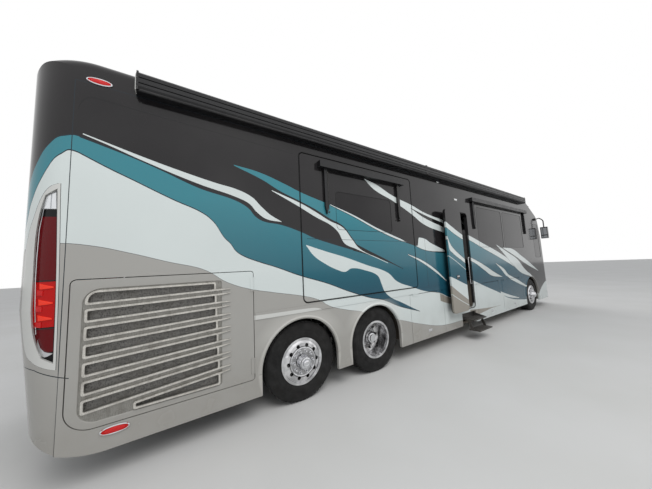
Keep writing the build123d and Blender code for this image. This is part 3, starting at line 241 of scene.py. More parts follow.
@dataclass(frozen=True)
class Finish:
    """One procedural finish: colour variation, roughness variation, grain and grime."""

    name: str
    colour: Shade
    worn: Shade
    roughness: float
    grain: Grain
    grain_size: float
    depth: float
    grime: float = 0.25
    metal: float = 0.0
    coat: float = 0.0

    def height(self, graph: Graph) -> Wire:
        """The height field of the grain.

        Args:
            graph: Where its nodes go.

        Returns:
            Height from 0 to 1.
        """
        scale = 1.0 / self.grain_size
        if self.grain in (Grain.LEATHER, Grain.TREADPLATE):
            cells = graph.node("ShaderNodeTexVoronoi", {"Vector": graph.object_place(), "Scale": scale},
                               feature="DISTANCE_TO_EDGE")
            return graph.spread(cells.outputs["Distance"], 0.0, 0.12, 0.0, 1.0)
        if self.grain is Grain.FABRIC:
            x, y, z = graph.axes()
            return graph.weave(graph.math("ADD", x, y), z, self.grain_size)
        return graph.noise(scale, 5.0 if self.grain is Grain.CAST else 2.0)

    def build(self) -> bpy.types.Material:
        """Makes the material.

        Returns:
            The material.
        """
        material, graph, shader = new_material(self.name)
        cloud = graph.spread(graph.noise(1.7, 4.0), 0.35, 0.7, 0.0, 1.0)
        fleck = graph.spread(graph.noise(38.0, 3.0), 0.4, 0.75, 0.0, self.grime)
        blended = graph.mix(graph.times(cloud, self.grime), tint(*self.colour), tint(*self.worn))
        graph.feed(shader, {
            "Base Color": graph.mix(graph.times(fleck, 0.5), blended, tint(*self.worn)),
            "Roughness": graph.spread(graph.noise(9.0, 4.0), 0.3, 0.7, self.roughness * 0.85,
                                      self.roughness * 1.2),
            "Normal": graph.bump(self.height(graph), self.depth),
            "Metallic": self.metal, "Coat Weight": self.coat, "Coat Roughness": 0.06,
        })
        return material


class Paint(Enum):
    """Colours of the coach's paint scheme."""

    GRAPHITE = (25, 23, 25)
    BLACK = (12, 12, 14)
    TEAL = (54, 128, 140)
    DEEP_TEAL = (22, 76, 94)
    PALE = (210, 217, 215)
    PEARL = (204, 204, 200)
    SILVER = (163, 161, 156)
    TAUPE = (150, 144, 134)
    LINE = (22, 34, 42)

    @property
    def linear(self) -> Colour:
        """The colour that shaders use."""
        return tint(*self.value)


@dataclass(frozen=True)
class Sweep:
    """A painted sweep between two edges given as (metres ahead of the rear seam, height).

    Without a lower edge it goes down to the ground. The edges of an upright one are given as
    (height, metres ahead of the rear seam).
    """

    paint: Paint
    upper: Edge
    lower: Edge = ()
    border: float = 0.0
    upright: bool = False

    @classmethod
    def stroke(cls, paint: Paint, line: Edge, width: float) -> "Sweep":
        """A line of an even width under its upper edge."""
        return cls(paint, line, tuple((s, z - width) for s, z in line))

    def edge_height(self, graph: Graph, share: Wire, edge: Edge) -> Wire:
        """Height of one edge along the sweep.

        Args:
            graph: Where its nodes go.
            share: Place along the sweep, from 0 to 1.
            edge: The edge's points.

        Returns:
            The height.
        """
        start, stop = self.upper[0][0], self.upper[-1][0]
        levels = [z for _, z in self.upper + self.floor_edge()]
        foot, top = min(levels), max(levels)
        curve = graph.node("ShaderNodeFloatCurve", {"Value": share})
        points = curve.mapping.curves[0].points
        for index, (s, z) in enumerate(edge):
            spot = (min(1.0, max(0.0, (s - start) / (stop - start))), (z - foot) / (top - foot))
            if index < 2:
                points[index].location = spot
            else:
                points.new(*spot)
        for point in points:
            point.handle_type = "AUTO_CLAMPED"
        curve.mapping.update()
        return graph.math("MULTIPLY_ADD", curve.outputs[0], top - foot, foot)

    def floor_edge(self) -> Edge:
        """The lower edge, which is the ground where none is given."""
        return self.lower or ((self.upper[0][0], 0.0), (self.upper[-1][0], 0.0))

    def mask(self, graph: Graph, along: Wire, height: Wire, grow: float = 0.0) -> Wire:
        """Where the sweep covers the body.

        Args:
            graph: Where its nodes go.
            along: Distance ahead of the rear seam.
            height: Height above the ground.
            grow: How far the sweep is widened.

        Returns:
            1 inside and 0 outside.
        """
        if self.upright:
            along, height = height, along
        start, stop = self.upper[0][0], self.upper[-1][0]
        share = graph.math("DIVIDE", graph.less(along, start), stop - start)
        top, foot = (self.edge_height(graph, share, edge) for edge in (self.upper, self.floor_edge()))
        inside = graph.math("MINIMUM", graph.less(top, height), graph.less(height, foot))
        ends = graph.times(graph.math("MINIMUM", share, graph.less(1.0, share)), stop - start)
        return graph.above(graph.math("MINIMUM", graph.math("ADD", inside, grow), ends), 0.0)


SWEEPS: tuple[Sweep, ...] = (
    # pale field under the teal, and the lower fields ahead of the doorway and on the front
    Sweep(Paint.PALE, ((-1.9, 1.55), (-0.9, 1.8), (-0.62, 2.12), (-0.44, 2.46), (-0.3, 2.72), (-0.2, 2.87),
           (-0.1, 3.02))),
    Sweep(Paint.PALE, ((-0.12, 3.0), (0.0, 3.08), (0.4, 2.9), (0.8, 2.75), (1.2, 2.55), (1.5, 2.2), (2.0, 1.95),
           (3.0, 1.6), (3.92, 1.35), (3.97, 1.55), (4.07, 1.64), (4.34, 1.45), (4.74, 1.34), (5.15, 1.22),
           (5.67, 1.13), (6.04, 1.0), (6.56, 0.85), (6.9, 0.72))),
    Sweep(Paint.PALE, ((6.88, 1.38), (7.25, 1.26), (7.87, 1.07), (8.68, 0.82), (9.16, 0.64), (10.32, 0.5),
           (10.45, 0.44))),
    Sweep(Paint.PALE, ((10.3, 0.46), (10.7, 0.46))),
    Sweep(Paint.TAUPE, ((6.88, 0.6), (7.6, 0.545), (8.18, 0.51), (8.6, 0.5)),
          ((6.88, 0.4), (7.6, 0.46), (8.18, 0.495), (8.6, 0.495))),
    Sweep(Paint.PALE, ((11.8, 0.5), (12.2, 0.72), (12.8, 0.9), (14.6, 0.96))),
    # silver lower rear
    Sweep(Paint.SILVER, ((-1.9, 1.33), (-0.9, 1.52), (-0.62, 1.84), (-0.5, 2.02), (-0.41, 2.085), (-0.32, 2.085),
           (-0.22, 2.09)), border=0.004),
    Sweep(Paint.SILVER, ((-0.24, 2.08), (-0.04, 2.13), (0.16, 2.11), (0.44, 2.04), (0.77, 1.94), (1.06, 1.86),
           (1.37, 1.67), (1.61, 1.58), (1.91, 1.51), (2.37, 1.41), (2.56, 1.35), (2.84, 1.2), (3.15, 1.11),
           (3.37, 1.06), (3.8, 0.9), (4.32, 0.77), (4.95, 0.59), (5.69, 0.44), (6.31, 0.42),
           (6.9, 0.42)), border=0.004),
    Sweep(Paint.TAUPE, ((4.77, 1.34), (5.0, 1.27), (5.37, 1.215), (6.04, 0.98), (6.4, 0.85)),
          ((4.77, 1.33), (4.86, 1.21), (5.4, 1.05), (6.0, 0.86), (6.4, 0.78))),
    # painted highlight along the belt crease above the tag wheel
    Sweep(Paint.PEARL, ((1.65, 1.252), (1.95, 1.246), (2.3, 1.243), (2.5, 1.235), (2.66, 1.194)),
          ((1.65, 1.199), (1.95, 1.192), (2.66, 1.192))),
    # pearl surround of the tail lamps
    Sweep(Paint.PEARL, ((1.055, -0.02), (1.14, -0.02), (1.64, -0.026), (2.2, -0.04), (2.55, -0.052), (2.675, -0.055)),
          ((1.055, -0.03), (1.088, -0.133), (1.14, -0.248), (1.234, -0.36), (1.392, -0.395), (1.638, -0.405),
           (1.951, -0.415), (2.204, -0.362), (2.368, -0.29), (2.536, -0.214), (2.629, -0.147),
           (2.675, -0.067)), 0.004, upright=True),
    # main teal band from the rear face to its tip above the drive wheels
    Sweep(Paint.TEAL, ((-1.9, 1.8), (-0.9, 2.02), (-0.62, 2.35), (-0.5, 2.56), (-0.44, 2.665)),
          ((-1.9, 1.35), (-0.9, 1.58), (-0.62, 1.92), (-0.5, 2.14), (-0.44, 2.29)), 0.012),
    Sweep(Paint.TEAL, ((-0.45, 2.645), (-0.393, 2.735), (-0.343, 2.808), (-0.287, 2.883), (-0.233, 2.961),
           (-0.162, 3.042), (-0.102, 3.102), (-0.044, 3.129), (0.02, 3.15), (0.08, 3.135)),
          ((-0.45, 2.265), (-0.395, 2.395), (-0.369, 2.47), (-0.33, 2.545), (-0.276, 2.645), (-0.214, 2.747),
           (-0.167, 2.827), (-0.115, 2.91), (-0.062, 2.963), (-0.007, 3.008), (0.08, 2.985)), 0.012),
    Sweep(Paint.TEAL, ((0.05, 3.14), (0.19, 3.1), (0.42, 3.03), (0.67, 2.94), (1.05, 2.79), (1.45, 2.69), (1.6, 2.61),
           (1.7, 2.5), (1.8, 2.45), (2.03, 2.42), (2.35, 2.33), (2.56, 2.25), (2.82, 2.18), (3.11, 2.11),
           (3.55, 2.01), (3.92, 1.91), (3.97, 1.84), (4.0, 1.56), (4.17, 1.35), (4.36, 1.25), (4.6, 1.1),
           (4.93, 0.85)),
          ((0.05, 2.995), (0.27, 2.88), (0.42, 2.81), (0.8, 2.63), (1.06, 2.52), (1.18, 2.43), (1.32, 2.22),
           (1.38, 2.16), (1.45, 2.06), (1.54, 2.0), (1.74, 1.92), (1.95, 1.85), (2.29, 1.72), (2.76, 1.57),
           (3.17, 1.41), (3.63, 1.26), (3.89, 1.2), (4.35, 1.02), (4.93, 0.85)), 0.012),
    # upper teal field with its light upper line
    Sweep(Paint.TEAL, ((1.43, 3.155), (1.73, 3.12), (2.12, 3.01), (2.35, 2.93), (2.88, 2.79), (3.32, 2.65),
           (3.91, 2.43), (4.49, 2.26), (5.04, 2.13), (5.34, 2.05), (6.02, 2.0), (6.6, 1.96)),
          ((1.43, 3.145), (1.79, 3.02), (2.04, 2.9), (2.35, 2.79), (2.61, 2.69), (2.86, 2.57), (3.09, 2.48),
           (3.29, 2.28), (3.45, 2.12), (3.91, 1.94), (3.95, 1.74), (3.99, 1.64), (4.07, 1.62), (4.34, 1.44),
           (4.74, 1.335), (5.15, 1.22), (5.67, 1.13), (6.04, 1.0), (6.18, 0.98), (6.3, 1.17), (6.46, 1.47),
           (6.6, 1.7))),
    Sweep(Paint.BLACK, ((3.3, 2.2), (3.7, 2.04), (3.91, 1.96), (4.11, 1.88), (4.52, 1.71)),
          ((3.3, 2.06), (3.7, 1.97), (3.91, 1.91), (4.11, 1.85), (4.52, 1.7))),
    # white sweeps
    Sweep(Paint.PALE, ((0.07, 3.185), (0.26, 3.13), (0.5, 3.06), (0.8, 2.98), (1.24, 2.88), (1.44, 2.845),
           (1.62, 2.78), (1.78, 2.64), (1.89, 2.55), (2.05, 2.465)),
          ((0.07, 3.175), (0.26, 3.11), (0.5, 3.02), (1.05, 2.84), (1.45, 2.74), (1.6, 2.68), (1.72, 2.56),
           (1.86, 2.48), (2.05, 2.46))),
    Sweep(Paint.PALE, ((1.92, 2.895), (2.35, 2.76), (2.61, 2.65), (2.86, 2.53), (3.09, 2.45), (3.29, 2.25),
           (3.45, 2.09), (3.91, 1.91), (4.11, 1.835)),
          ((1.92, 2.885), (2.34, 2.7), (2.61, 2.57), (2.86, 2.47), (3.01, 2.36), (3.14, 2.17), (3.36, 2.09),
           (3.72, 1.965), (4.11, 1.825))),
    Sweep(Paint.PALE, ((2.42, 2.145), (2.79, 2.04), (3.1, 1.96), (3.55, 1.82), (4.07, 1.66), (4.34, 1.47),
           (4.74, 1.34), (5.15, 1.22), (5.67, 1.13)),
          ((2.42, 2.135), (2.55, 1.98), (2.7, 1.88), (2.98, 1.75), (3.1, 1.72), (3.26, 1.77), (3.55, 1.72),
           (3.82, 1.62), (3.91, 1.46), (3.98, 1.32), (4.17, 1.18), (4.36, 1.1), (4.93, 0.85), (5.67, 0.6))),
    Sweep(Paint.PALE, ((2.88, 2.8), (3.32, 2.675), (3.91, 2.465), (4.49, 2.295), (5.02, 2.155), (5.1, 2.33),
           (5.56, 2.2), (6.02, 2.06)),
          ((2.88, 2.79), (3.32, 2.65), (3.91, 2.43), (4.49, 2.26), (4.82, 2.195), (5.34, 2.06), (6.02, 2.03)), 0.012),
    Sweep(Paint.PALE, ((3.65, 3.355), (3.91, 3.3), (4.39, 3.13), (4.92, 3.01), (5.38, 2.88), (6.06, 2.77)),
          ((3.65, 3.345), (3.9, 3.18), (4.37, 3.03), (4.9, 2.82), (5.35, 2.61), (6.06, 2.47))),
    Sweep(Paint.BLACK, ((4.9, 2.945), (5.37, 2.83), (6.06, 2.7)), ((4.9, 2.935), (5.37, 2.76), (6.06, 2.6))),
    Sweep(Paint.PALE, ((4.7, 1.985), (5.12, 1.86), (5.59, 1.64), (5.97, 1.38)),
          ((4.7, 1.975), (5.08, 1.83), (5.59, 1.58), (5.97, 1.36)), 0.01),
    # between the slide room's sweeps and the doorway, hidden on the right by the open door
    Sweep(Paint.PALE, ((6.06, 2.77), (6.26, 2.745), (6.48, 2.7)), ((6.06, 2.47), (6.26, 2.54), (6.48, 2.58))),
    Sweep(Paint.PALE, ((6.12, 0.99), (6.2, 1.08), (6.34, 1.3), (6.46, 1.48), (6.9, 1.3)),
          ((6.12, 0.945), (6.4, 0.85), (6.9, 0.66))),
    Sweep(Paint.TEAL, ((6.18, 2.0), (6.24, 2.3), (6.34, 2.5), (6.48, 2.585)),
          ((6.18, 0.98), (6.3, 1.17), (6.48, 1.475))),
    # ahead of the doorway
    Sweep(Paint.TEAL, ((6.88, 2.45), (7.22, 2.33), (7.86, 2.14), (8.75, 1.89), (9.46, 1.68), (10.08, 1.48),
           (10.89, 1.19), (11.4, 1.02)),
          ((6.88, 1.38), (7.25, 1.26), (7.87, 1.07), (8.68, 0.82), (9.16, 0.64), (10.32, 0.46), (11.4, 0.4))),
    Sweep(Paint.PALE, ((6.88, 2.52), (7.22, 2.44), (7.9, 2.26), (8.79, 2.02), (9.65, 1.74), (10.28, 1.52),
           (10.9, 1.2)),
          ((6.88, 2.4), (7.22, 2.32), (7.86, 2.13), (8.75, 1.88), (9.46, 1.67), (10.08, 1.47), (10.9, 1.18)), 0.012),
    Sweep(Paint.PALE, ((8.77, 2.225), (9.55, 1.98), (10.18, 1.77), (10.73, 1.43), (11.3, 1.17)),
          ((8.77, 2.215), (9.22, 1.95), (9.85, 1.57), (10.49, 1.29), (11.3, 1.14)), 0.012),
    Sweep(Paint.PALE, ((9.2, 2.135), (9.76, 2.12), (10.58, 1.87), (11.3, 1.61), (12.02, 1.31)),
          ((9.2, 2.125), (10.03, 1.88), (10.88, 1.6), (12.02, 1.3)), 0.012),
    Sweep(Paint.PALE, ((6.88, 1.96), (7.19, 1.87), (7.82, 1.67), (8.42, 1.44), (8.89, 1.285)),
          ((6.88, 1.86), (7.3, 1.75), (7.85, 1.52), (8.26, 1.35), (8.89, 1.275)), 0.012),
    Sweep(Paint.PALE, ((8.59, 1.685), (9.09, 1.5), (9.36, 1.32), (9.98, 1.13), (10.69, 0.88)),
          ((8.59, 1.675), (8.87, 1.51), (9.26, 1.26), (9.94, 1.03), (10.69, 0.83)), 0.01),
    Sweep(Paint.PALE, ((8.69, 0.87), (9.18, 0.74), (9.97, 0.56)), ((8.69, 0.8), (9.18, 0.66), (9.97, 0.54))),
    # joint of the bumper, and lower line of the fascia under the awnings
    Sweep.stroke(Paint.LINE, ((-1.9, 1.104), (-0.5, 1.1), (-0.246, 1.079), (-0.175, 1.059), (-0.118, 1.039),
           (-0.026, 1.005), (0.065, 0.968)), 0.008),
    Sweep(Paint.BLACK, ((0.03, 3.44), (0.06, 3.52), (0.15, 3.575), (0.45, 3.56), (2.26, 3.5)),
          ((0.03, 3.4), (0.06, 3.5), (0.15, 3.562), (0.45, 3.548), (2.26, 3.49))),
)


class Seam(Enum):
    """Direction of a painted panel line."""

    UPRIGHT = "upright"
    LEVEL = "level"


SEAMS: tuple[tuple[Seam, float, float, float], ...] = (
    # direction, place, from, to (metres ahead of the rear seam, and height)
    (Seam.UPRIGHT, 0.0, 0.30, 3.71),
    (Seam.UPRIGHT, 5.285, 1.30, 3.30),
    (Seam.UPRIGHT, 11.87, 0.30, 3.71),
    (Seam.LEVEL, 2.238, 2.44, 4.86),
    (Seam.LEVEL, 3.71, 0.0, 11.87),
)
SEAM_HALF = 0.003            # half the width of a painted panel line
DOOR_SHIFT = 0.6             # how far aft of its doorway the open door stands
DOORWAY = (6.815, 0.345)     # its middle ahead of the rear seam, and half its width
FILLER = (0.56, 4.918)       # on the far side, the door's sweeps show where 0.56 * run + height is over 4.918
CROWN = (0.16, 3.93)         # the roof's white starts this far inboard, and at this height
DOOR_SWEEPS: tuple[Sweep, ...] = (
    Sweep(Paint.TEAL, ((5.86, 2.6), (6.143, 2.47), (6.46, 2.36), (6.57, 2.32)), ((5.86, 1.2), (6.57, 0.85))),
    Sweep(Paint.TAUPE, ((5.86, 1.29), (6.077, 1.17), (6.457, 0.96), (6.57, 0.9))),
    Sweep(Paint.PALE, ((5.86, 1.475), (6.12, 1.386), (6.497, 1.254), (6.57, 1.23)),
          ((5.86, 1.285), (6.077, 1.153), (6.457, 0.943), (6.57, 0.885))),
    Sweep(Paint.PALE, ((5.86, 2.706), (6.165, 2.567), (6.455, 2.448), (6.57, 2.405)),
          ((5.86, 2.578), (6.143, 2.448), (6.443, 2.339), (6.57, 2.295)), 0.012),
    Sweep(Paint.PALE, ((5.86, 2.43), (5.89, 2.36), (6.007, 2.165), (6.157, 2.05), (6.46, 1.882), (6.57, 1.825)),
          ((5.86, 2.35), (5.9, 2.25), (5.93, 2.073), (6.059, 1.981), (6.464, 1.787), (6.57, 1.735)), 0.012),
    Sweep(Paint.PALE, ((5.86, 1.942), (6.115, 1.828), (6.446, 1.654), (6.57, 1.59)),
          ((5.86, 1.926), (6.115, 1.812), (6.446, 1.638), (6.57, 1.574))),
    Sweep(Paint.PALE, ((5.86, 1.101), (6.126, 0.966), (6.432, 0.828), (6.57, 0.77)),
          ((5.86, 1.085), (6.126, 0.95), (6.432, 0.812), (6.57, 0.754))),
)


def sockets(tree: bpy.types.NodeTree, way: str, **kinds: str) -> None:
    """Gives a node group its inputs or outputs, each label with its kind."""
    for label, kind in kinds.items():
        tree.interface.new_socket(name=label, in_out=way, socket_type=f"NodeSocket{kind}")


class Livery:
    """The coach's paint: sweeps over graphite, pale and silver under a clear coat."""

    def __init__(self, name: str, sweeps: Sequence[Sweep],
                 seams: Sequence[tuple[Seam, float, float, float]] = ()) -> None:
        """Builds the node group that its coats share.

        Args:
            name: The group's name.
            sweeps: Painted fields and lines, the lowest first.
            seams: Straight panel lines over them.
        """
        self.group = bpy.data.node_groups.new(name, "ShaderNodeTree")
        sockets(self.group, "INPUT", Along="Float", Height="Float")
        sockets(self.group, "OUTPUT", Colour="Color")
        graph = Graph(self.group)
        source = graph.node("NodeGroupInput").outputs
        along, height = source["Along"], source["Height"]
        colour: object = Paint.GRAPHITE.linear
        deep = graph.spread(height, 1.3, 2.7, 1.0, 0.0)
        teal = graph.mix(deep, Paint.TEAL.linear, Paint.DEEP_TEAL.linear)
        for sweep in sweeps:
            if sweep.border:
                colour = graph.mix(sweep.mask(graph, along, height, sweep.border), colour, Paint.LINE.linear)
            own = teal if sweep.paint is Paint.TEAL else sweep.paint.linear
            colour = graph.mix(sweep.mask(graph, along, height), colour, own)
        for seam, place, low, high in seams:
            across, run = (along, height) if seam is Seam.UPRIGHT else (height, along)
            near = graph.below(graph.gap(across, place), SEAM_HALF)
            span = graph.below(graph.gap(run, (low + high) / 2), (high - low) / 2)
            colour = graph.mix(graph.times(near, span), colour, Paint.LINE.linear)
        graph.node("NodeGroupOutput", {"Colour": colour})

    def colour(self, graph: Graph, along: Wire, height: Wire) -> Wire:
        """The colour of the sweeps at a place."""
        inputs = {"Along": along, "Height": height}
        return graph.node("ShaderNodeGroup", inputs, node_tree=self.group).outputs["Colour"]

    def coat(self, name: str, wraps: bool = True, glass: bool = False, crown: bool = False,
             lined: float = 0.0, closed_door: Optional["Livery"] = None) -> bpy.types.Material:
        """Makes a clear-coated paint that shows the sweeps, with painted highlights round the wheel arches.

        Args:
            name: The material's name.
            wraps: Whether the pattern goes on round the body's corners.
            glass: Whether the coat is on tinted glass.
            crown: Whether the top of the roof is white gelcoat.
            lined: Distance inboard past which the panel shows its black lining, or 0.
            closed_door: The door's paint, carried on where the far side has no doorway.

        Returns:
            The material.
        """
        material, graph, shader = new_material(name)
        x, y, z = graph.axes()
        side = graph.math("ABSOLUTE", y)
        inward = graph.less(HALF, side)
        along = graph.less(x, REAR_SEAM)
        if wraps:
            sign = graph.math("MULTIPLY_ADD", graph.above(x, 0.0), 2.0, -1.0)
            along = graph.math("ADD", along, graph.times(inward, sign))
        colour: object = self.colour(graph, along, z)
        if closed_door is not None:
            slope, level = FILLER
            across = graph.below(graph.gap(along, DOORWAY[0]), DOORWAY[1])
            over = graph.above(graph.math("MULTIPLY_ADD", along, slope, z), level)
            far = graph.times(graph.times(across, over), graph.above(y, 0.0))
            colour = graph.mix(far, colour, closed_door.colour(graph, graph.less(along, DOOR_SHIFT), z))
        if crown:
            top = graph.above(graph.math("MINIMUM", graph.less(inward, CROWN[0]), graph.less(z, CROWN[1])), 0.0)
            colour = graph.mix(top, colour, tint(206, 206, 202))
        if lined:
            colour = graph.mix(graph.below(side, lined), colour, tint(14, 14, 15))
        # painted highlights: a bright ring on each wheel arch's lip, and a broad painted highlight on the flare over
        # the two rear arches, below the belt crease
        for axle in AXLES:
            reach = graph.reach(x, z, axle)
            near = graph.spread(graph.gap(reach, ARCH_RADIUS), 0.012, 0.030, 0.4, 0.0)
            flare_highlight = graph.times(graph.spread(reach, 0.62, 0.80, 0.0 if axle == FRONT else 0.34, 0.0),
                                graph.spread(z, 0.72, 1.00, 0.0, 1.0))
            arch_highlight = graph.math("MAXIMUM", near, graph.times(flare_highlight, graph.below(z, BELT_Z)))
            colour = graph.mix(graph.times(arch_highlight, graph.below(inward, 0.05)), colour, tint(214, 212, 206))
        dust = graph.times(graph.spread(z, 0.30, 1.00, 0.30, 0.0),
                           graph.spread(graph.noise(3.1, 6.0), 0.35, 0.7, 0.2, 1.0))
        colour = graph.mix(dust, colour, tint(134, 127, 116))
        mottled = graph.spread(graph.noise(0.9, 3.0), 0.3, 0.7, 0.0, 0.06)
        worn = graph.spread(graph.noise(2.3, 4.0), 0.3, 0.7, 0.10, 0.16)
        graph.feed(shader, {
            "Base Color": graph.mix(mottled, colour, tint(120, 118, 116)),
            "Roughness": graph.math("MULTIPLY_ADD", dust, 0.7, worn),
            "Normal": graph.bump(graph.noise(160.0, 2.0), 0.00006),
            "Coat Weight": 0.0 if glass else 0.2, "Coat Roughness": 0.04, "Specular IOR Level": 0.3,
        })
        if glass:
            solid = graph.math("MINIMUM", graph.below(side, 1.14), graph.above(x, 6.22))
            graph.feed(shader, {"Alpha": graph.math("MULTIPLY_ADD", solid, -0.62, 1.0)})
        return material


FINISHES = (
    # name, colour, worn colour, roughness, grain, its size and depth, grime
    Finish("chrome_trim", (226, 227, 230), (176, 174, 172), 0.08, Grain.SMOOTH, 0.03, 0.00005, 0.2, metal=1.0),
    Finish("awning_black", (15, 15, 17), (38, 38, 40), 0.38, Grain.CAST, 0.003, 0.0002, 0.35),
    Finish("gloss_black", (9, 9, 10), (24, 24, 25), 0.12, Grain.SMOOTH, 0.05, 0.0001, coat=0.4),
    Finish("seal_rubber", (10, 10, 11), (30, 30, 30), 0.7, Grain.CAST, 0.004, 0.0004, 0.5),
    Finish("tyre_rubber", (9, 9, 10), (34, 32, 30), 0.78, Grain.CAST, 0.006, 0.0006, 0.45),
    Finish("chassis_black", (20, 20, 21), (66, 58, 50), 0.6, Grain.CAST, 0.008, 0.0008, 0.7),
    Finish("engine_iron", (74, 76, 78), (48, 42, 36), 0.6, Grain.CAST, 0.006, 0.001, 0.7, metal=0.4),
    Finish("bellows_rubber", (18, 18, 19), (60, 56, 52), 0.75, Grain.FABRIC, 0.004, 0.0004, 0.5),
    Finish("step_metal", (34, 34, 36), (92, 88, 82), 0.5, Grain.TREADPLATE, 0.022, 0.0015, 0.6, metal=0.3),
    Finish("deck_board", (112, 104, 94), (84, 78, 70), 0.75, Grain.CARPET, 0.003, 0.0012, 0.5),
    Finish("roof_gelcoat", (214, 214, 210), (168, 164, 154), 0.4, Grain.CAST, 0.01, 0.0003, 0.5),
    Finish("dash_plastic", (40, 38, 37), (66, 62, 60), 0.55, Grain.LEATHER, 0.004, 0.0005, 0.2),
    Finish("seat_leather", (158, 142, 122), (112, 98, 82), 0.45, Grain.LEATHER, 0.006, 0.0008, 0.3),
    Finish("seat_thread", (206, 196, 180), (170, 158, 140), 0.7, Grain.FABRIC, 0.001, 0.0002),
    Finish("mirror_black", (14, 14, 15), (34, 34, 35), 0.25, Grain.SMOOTH, 0.02, 0.0001, coat=0.3),
    Finish("lamp_white", (228, 230, 232), (196, 198, 200), 0.15, Grain.SMOOTH, 0.01, 0.0002, metal=0.4),
    Finish("mirror_glass", (206, 210, 214), (180, 186, 192), 0.03, Grain.SMOOTH, 0.2, 0.00002, 0.1, metal=1.0),
    Finish("door_lining", (24, 24, 25), (52, 50, 48), 0.6, Grain.LEATHER, 0.005, 0.0004, 0.3),
    Finish("rib_rubber", (30, 30, 31), (78, 74, 70), 0.75, Grain.CAST, 0.003, 0.0004, 0.6),
    Finish("valance_fabric", (46, 46, 48), (72, 70, 68), 0.85, Grain.FABRIC, 0.0025, 0.0003, 0.4),
    Finish("bracket_white", (216, 216, 212), (170, 168, 162), 0.4, Grain.CAST, 0.006, 0.0002, 0.3),
)
TAIL_BANDS = (
    # foot of each band of the tail lamp's lens, and its colours between and on the prisms; the last
    # band is that of the upper marker lamps
    (0.9, (9, 9, 10), (20, 20, 21)), (1.205, (74, 2, 8), (112, 4, 12)), (1.402, (9, 9, 10), (20, 20, 21)),
    (1.412, (158, 8, 10), (206, 18, 14)), (1.800, (9, 9, 10), (20, 20, 21)), (1.812, (74, 2, 8), (112, 4, 12)),
    (2.372, (9, 9, 10), (20, 20, 21)), (2.442, (176, 178, 180), (214, 216, 218)),
    (3.0, (158, 8, 10), (206, 18, 14)),
)


